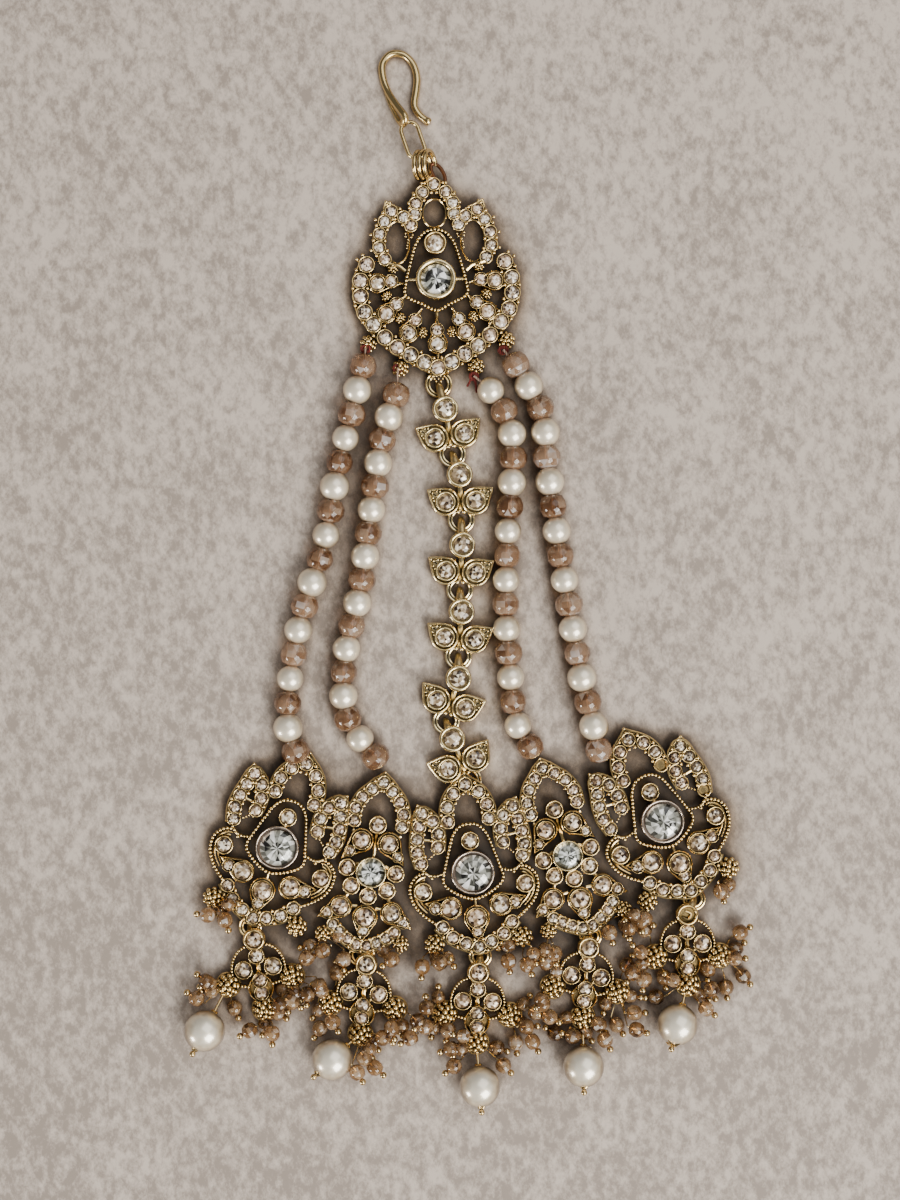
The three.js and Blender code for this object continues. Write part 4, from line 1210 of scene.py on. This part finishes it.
HOOK_PATH = [
    (3.4, 0.2, 0.8), (1.75, 1.45, 0.8), (0.9, 3.0, 0.7), (1.15, 5.3, 0.6), (1.3, 7.5, 0.6), (0.65, 9.75, 0.6),
    (-0.95, 11.25, 0.6), (-2.95, 11.3, 0.6), (-4.25, 9.7, 0.6), (-4.15, 7.5, 0.6), (-3.35, 5.2, 1.0),
    (-2.35, 3.4, 1.8), (-1.3, 1.8, 2.6),
    (-0.6, 0.75, 3.05), (-0.6, 0.0, 2.7), (-1.0, -0.3, 1.7), (-1.5, 0.4, 1.0), (-2.3, 1.9, 0.7),
    (-3.2, 3.7, 0.6), (-3.9, 5.6, 0.5),
]


def wire(name, metal, path, radius, sides, at, turn, stands_for=(), closed=False):
    """A fitting of one wire."""
    body = Body()
    tube(body, path, radius, sides, closed)
    body.piece(name, metal, "wire_fittings", at, turn, stands_for)


def hook():
    """A bent wire, which swells at the end of its small return and tapers at the other."""
    thick, swell, taper = 0.58, (0.5, 0.68, 0.7, 0.62), 40
    path = spline(HOOK_PATH, 9)
    radii = np.full(len(path), thick)
    radii[:len(swell)] = swell
    radii[-taper:] = np.linspace(thick, 0.2, taper)
    wire("hook_wire", WIRE_GOLD, path, radii, 14, (-10.3, 120.3), 0.0, ["hook"])


def hook_link():
    half_width, half_length = 1.4, 3.0
    straight = half_length - half_width
    upper = [(half_width * math.cos(a), straight + half_width * math.sin(a), WIRE_LEVEL)
             for a in np.linspace(0, math.pi, 13)]
    lower = [(-x, -y, z) for x, y, z in upper]
    wire("oval_link", WIRE_GOLD, upper + lower, 0.33, 10, (-9.6, 117.45), 19.0, ["hook_link"], closed=True)


def eye():
    """The copper wire eye between the coil and the top petal."""
    path = raised(oval(0, 0, 0.8, 1.75, 28), 1.3)
    wire("eye_ring", COPPER, path, 0.31, 10, (-5.6, 112.3), 32.0, closed=True)


def coil():
    """Three turns of wire. Their axis leans, so that its right end is higher."""
    turns, radius, pitch, lean, level = 3, 2.1, 0.86, math.radians(19), 2.8
    axis = np.array([math.cos(lean), 0.0, math.sin(lean)])
    front = np.array([-math.sin(lean), 0.0, math.cos(lean)])
    path = []
    for share in np.linspace(0, 1, turns * 28 + 1):
        angle = (share * turns * 2 + 1) * math.pi
        along = (share - 0.5) * turns * pitch
        ring = radius * (math.sin(angle) * np.array([0.0, 1.0, 0.0]) + math.cos(angle) * front)
        path.append(axis * along + ring + (0.0, 0.0, level))
    wire("coil", WIRE_GOLD, path, 0.36, 10, (-7.9, 113.4), 2.0, ["coil_ring"])


# ---- layout ----

# Medallions: name, design, at, turn, numbers of the cups that have lost their stones, the small stones'
# painted
# share of light, and the main stone: painted share of light, contrast, direction of its painted highlight,
# warmth.
TOP_AT, TOP_TURN = (-5.9, 95.1), 1.4
TOP = ("top", TOP_DESIGN, TOP_AT, TOP_TURN, {}, 0.63, (0.33, 0.7, 250, 0.6))
MEDALLIONS = [
    ("left_outer", BIG_DESIGN, (-31.35, 4.0), -19.2, {}, 0.56, (0.40, 0.38, 130, 0.1)),
    ("left_inner", SMALL_DESIGN, (-16.3, 0.0), -8.0, {}, 0.52, (0.42, 0.42, 250, 0.9)),
    ("centre", BIG_DESIGN, (0.0, 0.0), 5.0, {}, 0.50, (0.44, 0.34, 235, 0.1)),
    ("right_inner", SMALL_DESIGN, (15.2, 2.7), 16.0, {}, 0.48, (0.46, 0.42, 265, 0.9)),
    ("right_outer", BIG_DESIGN, (30.4, 8.2), 22.5, {0: (6,), "right": (7,)}, 0.36, (0.44, 0.36, 285, 0.2)),
]

LINKS = [
    # at, turn
    ((-4.4, 74.3), 9.0), ((-2.1, 63.8), 2.0), ((-1.7, 52.5), -3.0),
    ((-1.8, 41.8), -4.0), ((-2.3, 31.1), -16.0), ((-3.3, 21.4), 21.0),
]

DROPS = [
    # name, at, turn, pearl, flower that the pearl hangs from, and the small beads at each flower: direction,
    # reach, direction of the pin
    ("left_outer", (-35.1, -10.8), 8.0, (-42.9, -25.2), "left",
     {"left": [(163, 3.5, 145), (-159, 5.3, 150), (-75, 3.8, -70)],
      "right": [(-90, 3.8, -30), (-44, 3.6, -95), (-15, 4.6, -70)],
      "bottom": [(-124, 4.0, -150), (-69, 4.0, -90), (20, 2.8, -40)]}),
    ("left_inner", (-17.1, -14.8), -5.0, (-22.5, -29.8), "bottom",
     {"left": [(79, 4.9, 90), (-113, 4.3, -120), (-80, 2.7, -60)],
      "right": [(-60, 5.0, -150), (-23, 4.0, -40), (-100, 2.8, -75)],
      "bottom": [(-4, 3.7, -25), (-78, 3.6, -60), (-94, 5.8, -60), (-64, 5.6, -41)]}),
    ("centre", (0.9, -16.1), -1.5, (1.1, -34.1), "bottom",
     {"left": [(156, 3.2, 96), (-78, 2.6, -100), (-150, 3.6, -170)],
      "right": [(-77, 4.6, -85), (9, 4.2, -30), (-29, 3.0, 0), (-47, 5.3, -60)],
      "bottom": [(-171, 4.2, -160), (-137, 5.0, -140), (-16, 3.4, -20), (-40, 5.6, -45)]}),
    ("right_inner", (18.6, -12.1), -4.6, (17.7, -30.9), "bottom",
     {"left": [(106, 4.2, 130), (-98, 4.5, -30), (-125, 3.0, -110)],
      "right": [(-91, 5.4, -55), (-51, 4.2, 0), (-63, 6.4, -20), (70, 4.5, 60)],
      "bottom": [(-149, 5.2, 150), (-121, 3.3, 165), (-22, 2.7, -50), (-44, 4.7, -60)]}),
    ("right_outer", (34.4, -6.8), 1.0, (32.7, -24.2), "bottom",
     {"left": [(-121, 3.8, -96), (112, 4.7, 130), (-67, 3.6, -80), (-150, 4.4, -120)],
      "right": [(50, 5.0, 29), (-41, 5.0, -50), (-79, 5.2, -83), (-130, 2.9, -90)],
      "bottom": [(-158, 5.5, -175), (-8, 3.7, -70), (-53, 4.6, -38)]}),
]

# Small beads that hang from the flowers of the lower medallions.
EDGE_BEADS = {
    "left_outer": {"left": [(-106, 2.7, 176), (-58, 3.9, -72)]},
    "left_inner": {"left": [(-90, 2.6, -150), (-50, 5.2, -90), (-125, 4.4, -130)],
                   "right": [(-122, 2.6, -145)]},
    "centre": {"left": [(-120, 4.0, -94), (-72, 2.7, 20)], "right": [(-122, 4.4, -83), (-82, 4.2, -64)]},
    "right_inner": {"left": [(-75, 3.4, -80)], "right": [(-123, 4.3, -72), (-74, 2.8, -90), (-20, 3.4, -40)]},
    "right_outer": {"left": [(-110, 3.0, -90)], "right": [(-113, 3.9, -72)]},
}

STRINGS = [
    # name, beads, the first of them, knot, loose ends of the thread, route
    ("outer_left", 17, "crystal", (-17.2, 84.0), [],
     [(-17.6, 81.2), (-19.7, 72.5), (-21.6, 64.8), (-23.8, 53.1), (-28.1, 38.4), (-29.7, 23.8),
      (-28.4, 19.4)]),
    ("inner_left", 17, "crystal", (-12.0, 80.9), [],
     [(-12.3, 76.6), (-14.5, 69.4), (-16.3, 57.9), (-17.9, 46.4), (-20.7, 32.5), (-20.0, 24.4),
      (-15.6, 18.6)]),
    ("inner_right", 16, "pearl", (0.2, 79.6), [(-80, 2.6), (-125, 1.9)],
     [(2.9, 77.3), (6.1, 71.4), (5.6, 53.7), (5.3, 42.7), (5.8, 34.7), (7.1, 24.0), (9.2, 20.2)]),
    ("outer_right", 17, "crystal", (4.9, 83.8), [],
     [(6.9, 81.4), (11.1, 73.7), (11.9, 65.9), (13.6, 53.7), (15.4, 42.9), (17.5, 31.2), (19.4, 23.5),
      (20.2, 19.6)]),
]


hook()
hook_link()
eye()
coil()
for row in [TOP, *MEDALLIONS]:
    medallion(*row)

ring_above = in_layout(TOP_AT, TOP_TURN, TOP_DESIGN["ring"][:2])
for number, (at, turn) in enumerate(LINKS, 1):
    chain_link(str(number), at, turn, seen_from(at, turn, ring_above))
    ring_above = in_layout(at, turn, LINK_RING[:2])

for (name, at, turn, pearl_at, hangs_from, beads), (_, design, home, lean, *_) in zip(DROPS, MEDALLIONS):
    odd_one = name == "right_outer"
    ring_place = in_layout(home, lean, design["ring"][:2])
    drop(name, at, turn, seen_from(at, turn, ring_place), beads, hollow_head=odd_one)
    flower_place = in_layout(at, turn, DROP_FLOWERS[hangs_from])
    drop_pearl(name, pearl_at, flower_place - np.array(pearl_at), WIDE_CAP if odd_one else CAP)

for name, wanted in EDGE_BEADS.items():
    _, design, at, turn, *_ = next(row for row in MEDALLIONS if row[0] == name)
    x, y, _ = design["loops"][0]
    work = Beadwork(f"medallion_{name}")
    for key, side in (("left", -1), ("right", 1)):
        work.fill(in_layout(at, turn, (side * x, y)), wanted.get(key, ()))
    work.pieces("medallions")

for row in STRINGS:
    string_of_beads(*row)


# ---- studio ----

def floor():
    """A slab just under the jewel."""
    size = 1.2
    mesh = bpy.data.meshes.new("floor")
    corners = [(-size, -size, 0), (size, -size, 0), (size, size, 0), (-size, size, 0)]
    mesh.from_pydata(corners, [], [(0, 1, 2, 3)])
    middles = [in_frame(at) for at in [TOP_AT] + [row[2] for row in MEDALLIONS]]
    mesh.materials.append(pale_floor("floor", middles, (14 * MM, 19 * MM)))
    made = bpy.data.objects.new("floor", mesh)
    made.location.z = cad_box[0].z - 0.05 * MM
    bpy.context.scene.collection.objects.link(made)


def softbox(name, direction, distance, size, power, colour=WHITE):
    """A square light that faces the middle of the jewel."""
    data = bpy.data.lights.new(name, "AREA")
    data.size = size
    data.energy = power
    data.color = colour
    made = bpy.data.objects.new(name, data)
    toward = np.array(direction, float) / np.linalg.norm(direction)
    made.location = toward * distance
    made.rotation_mode = "QUATERNION"
    made.rotation_quaternion = Vector(-toward).to_track_quat("-Z", "Y")
    made.visible_camera = False
    bpy.context.scene.collection.objects.link(made)


def world(colour, strength):
    made = bpy.data.worlds.new("studio")
    made.use_nodes = True
    background = made.node_tree.nodes["Background"]
    background.inputs["Color"].default_value = (*colour, 1.0)
    background.inputs["Strength"].default_value = strength
    bpy.context.scene.world = made


def camera():
    """Straight above the jewel, with the hook at the top of the view."""
    middle, jewel_level = in_frame((-3.66, 43.66)), 3 * MM
    view_height, lens, sensor = 192 * MM, 60.0, 36.0
    data = bpy.data.cameras.new("camera")
    data.lens = lens
    data.sensor_width = sensor
    data.clip_start = 0.01
    made = bpy.data.objects.new("camera", data)
    made.location = (*middle, jewel_level + view_height / 2 * lens / (sensor / 2))
    bpy.context.scene.collection.objects.link(made)
    bpy.context.scene.camera = made


floor()
camera()
world((0.98, 0.97, 1.0), strength=0.16)
softbox("key", (0.47, -0.56, 0.68), distance=1.5, size=1.0, power=41.0, colour=(1.0, 0.98, 0.95))
softbox("low_left", (-0.80, -0.57, 0.25), distance=1.2, size=0.3, power=8.5, colour=(1.0, 0.98, 0.96))
softbox("ceiling", (0.40, 0.50, 1.0), distance=1.0, size=0.9, power=4.4)
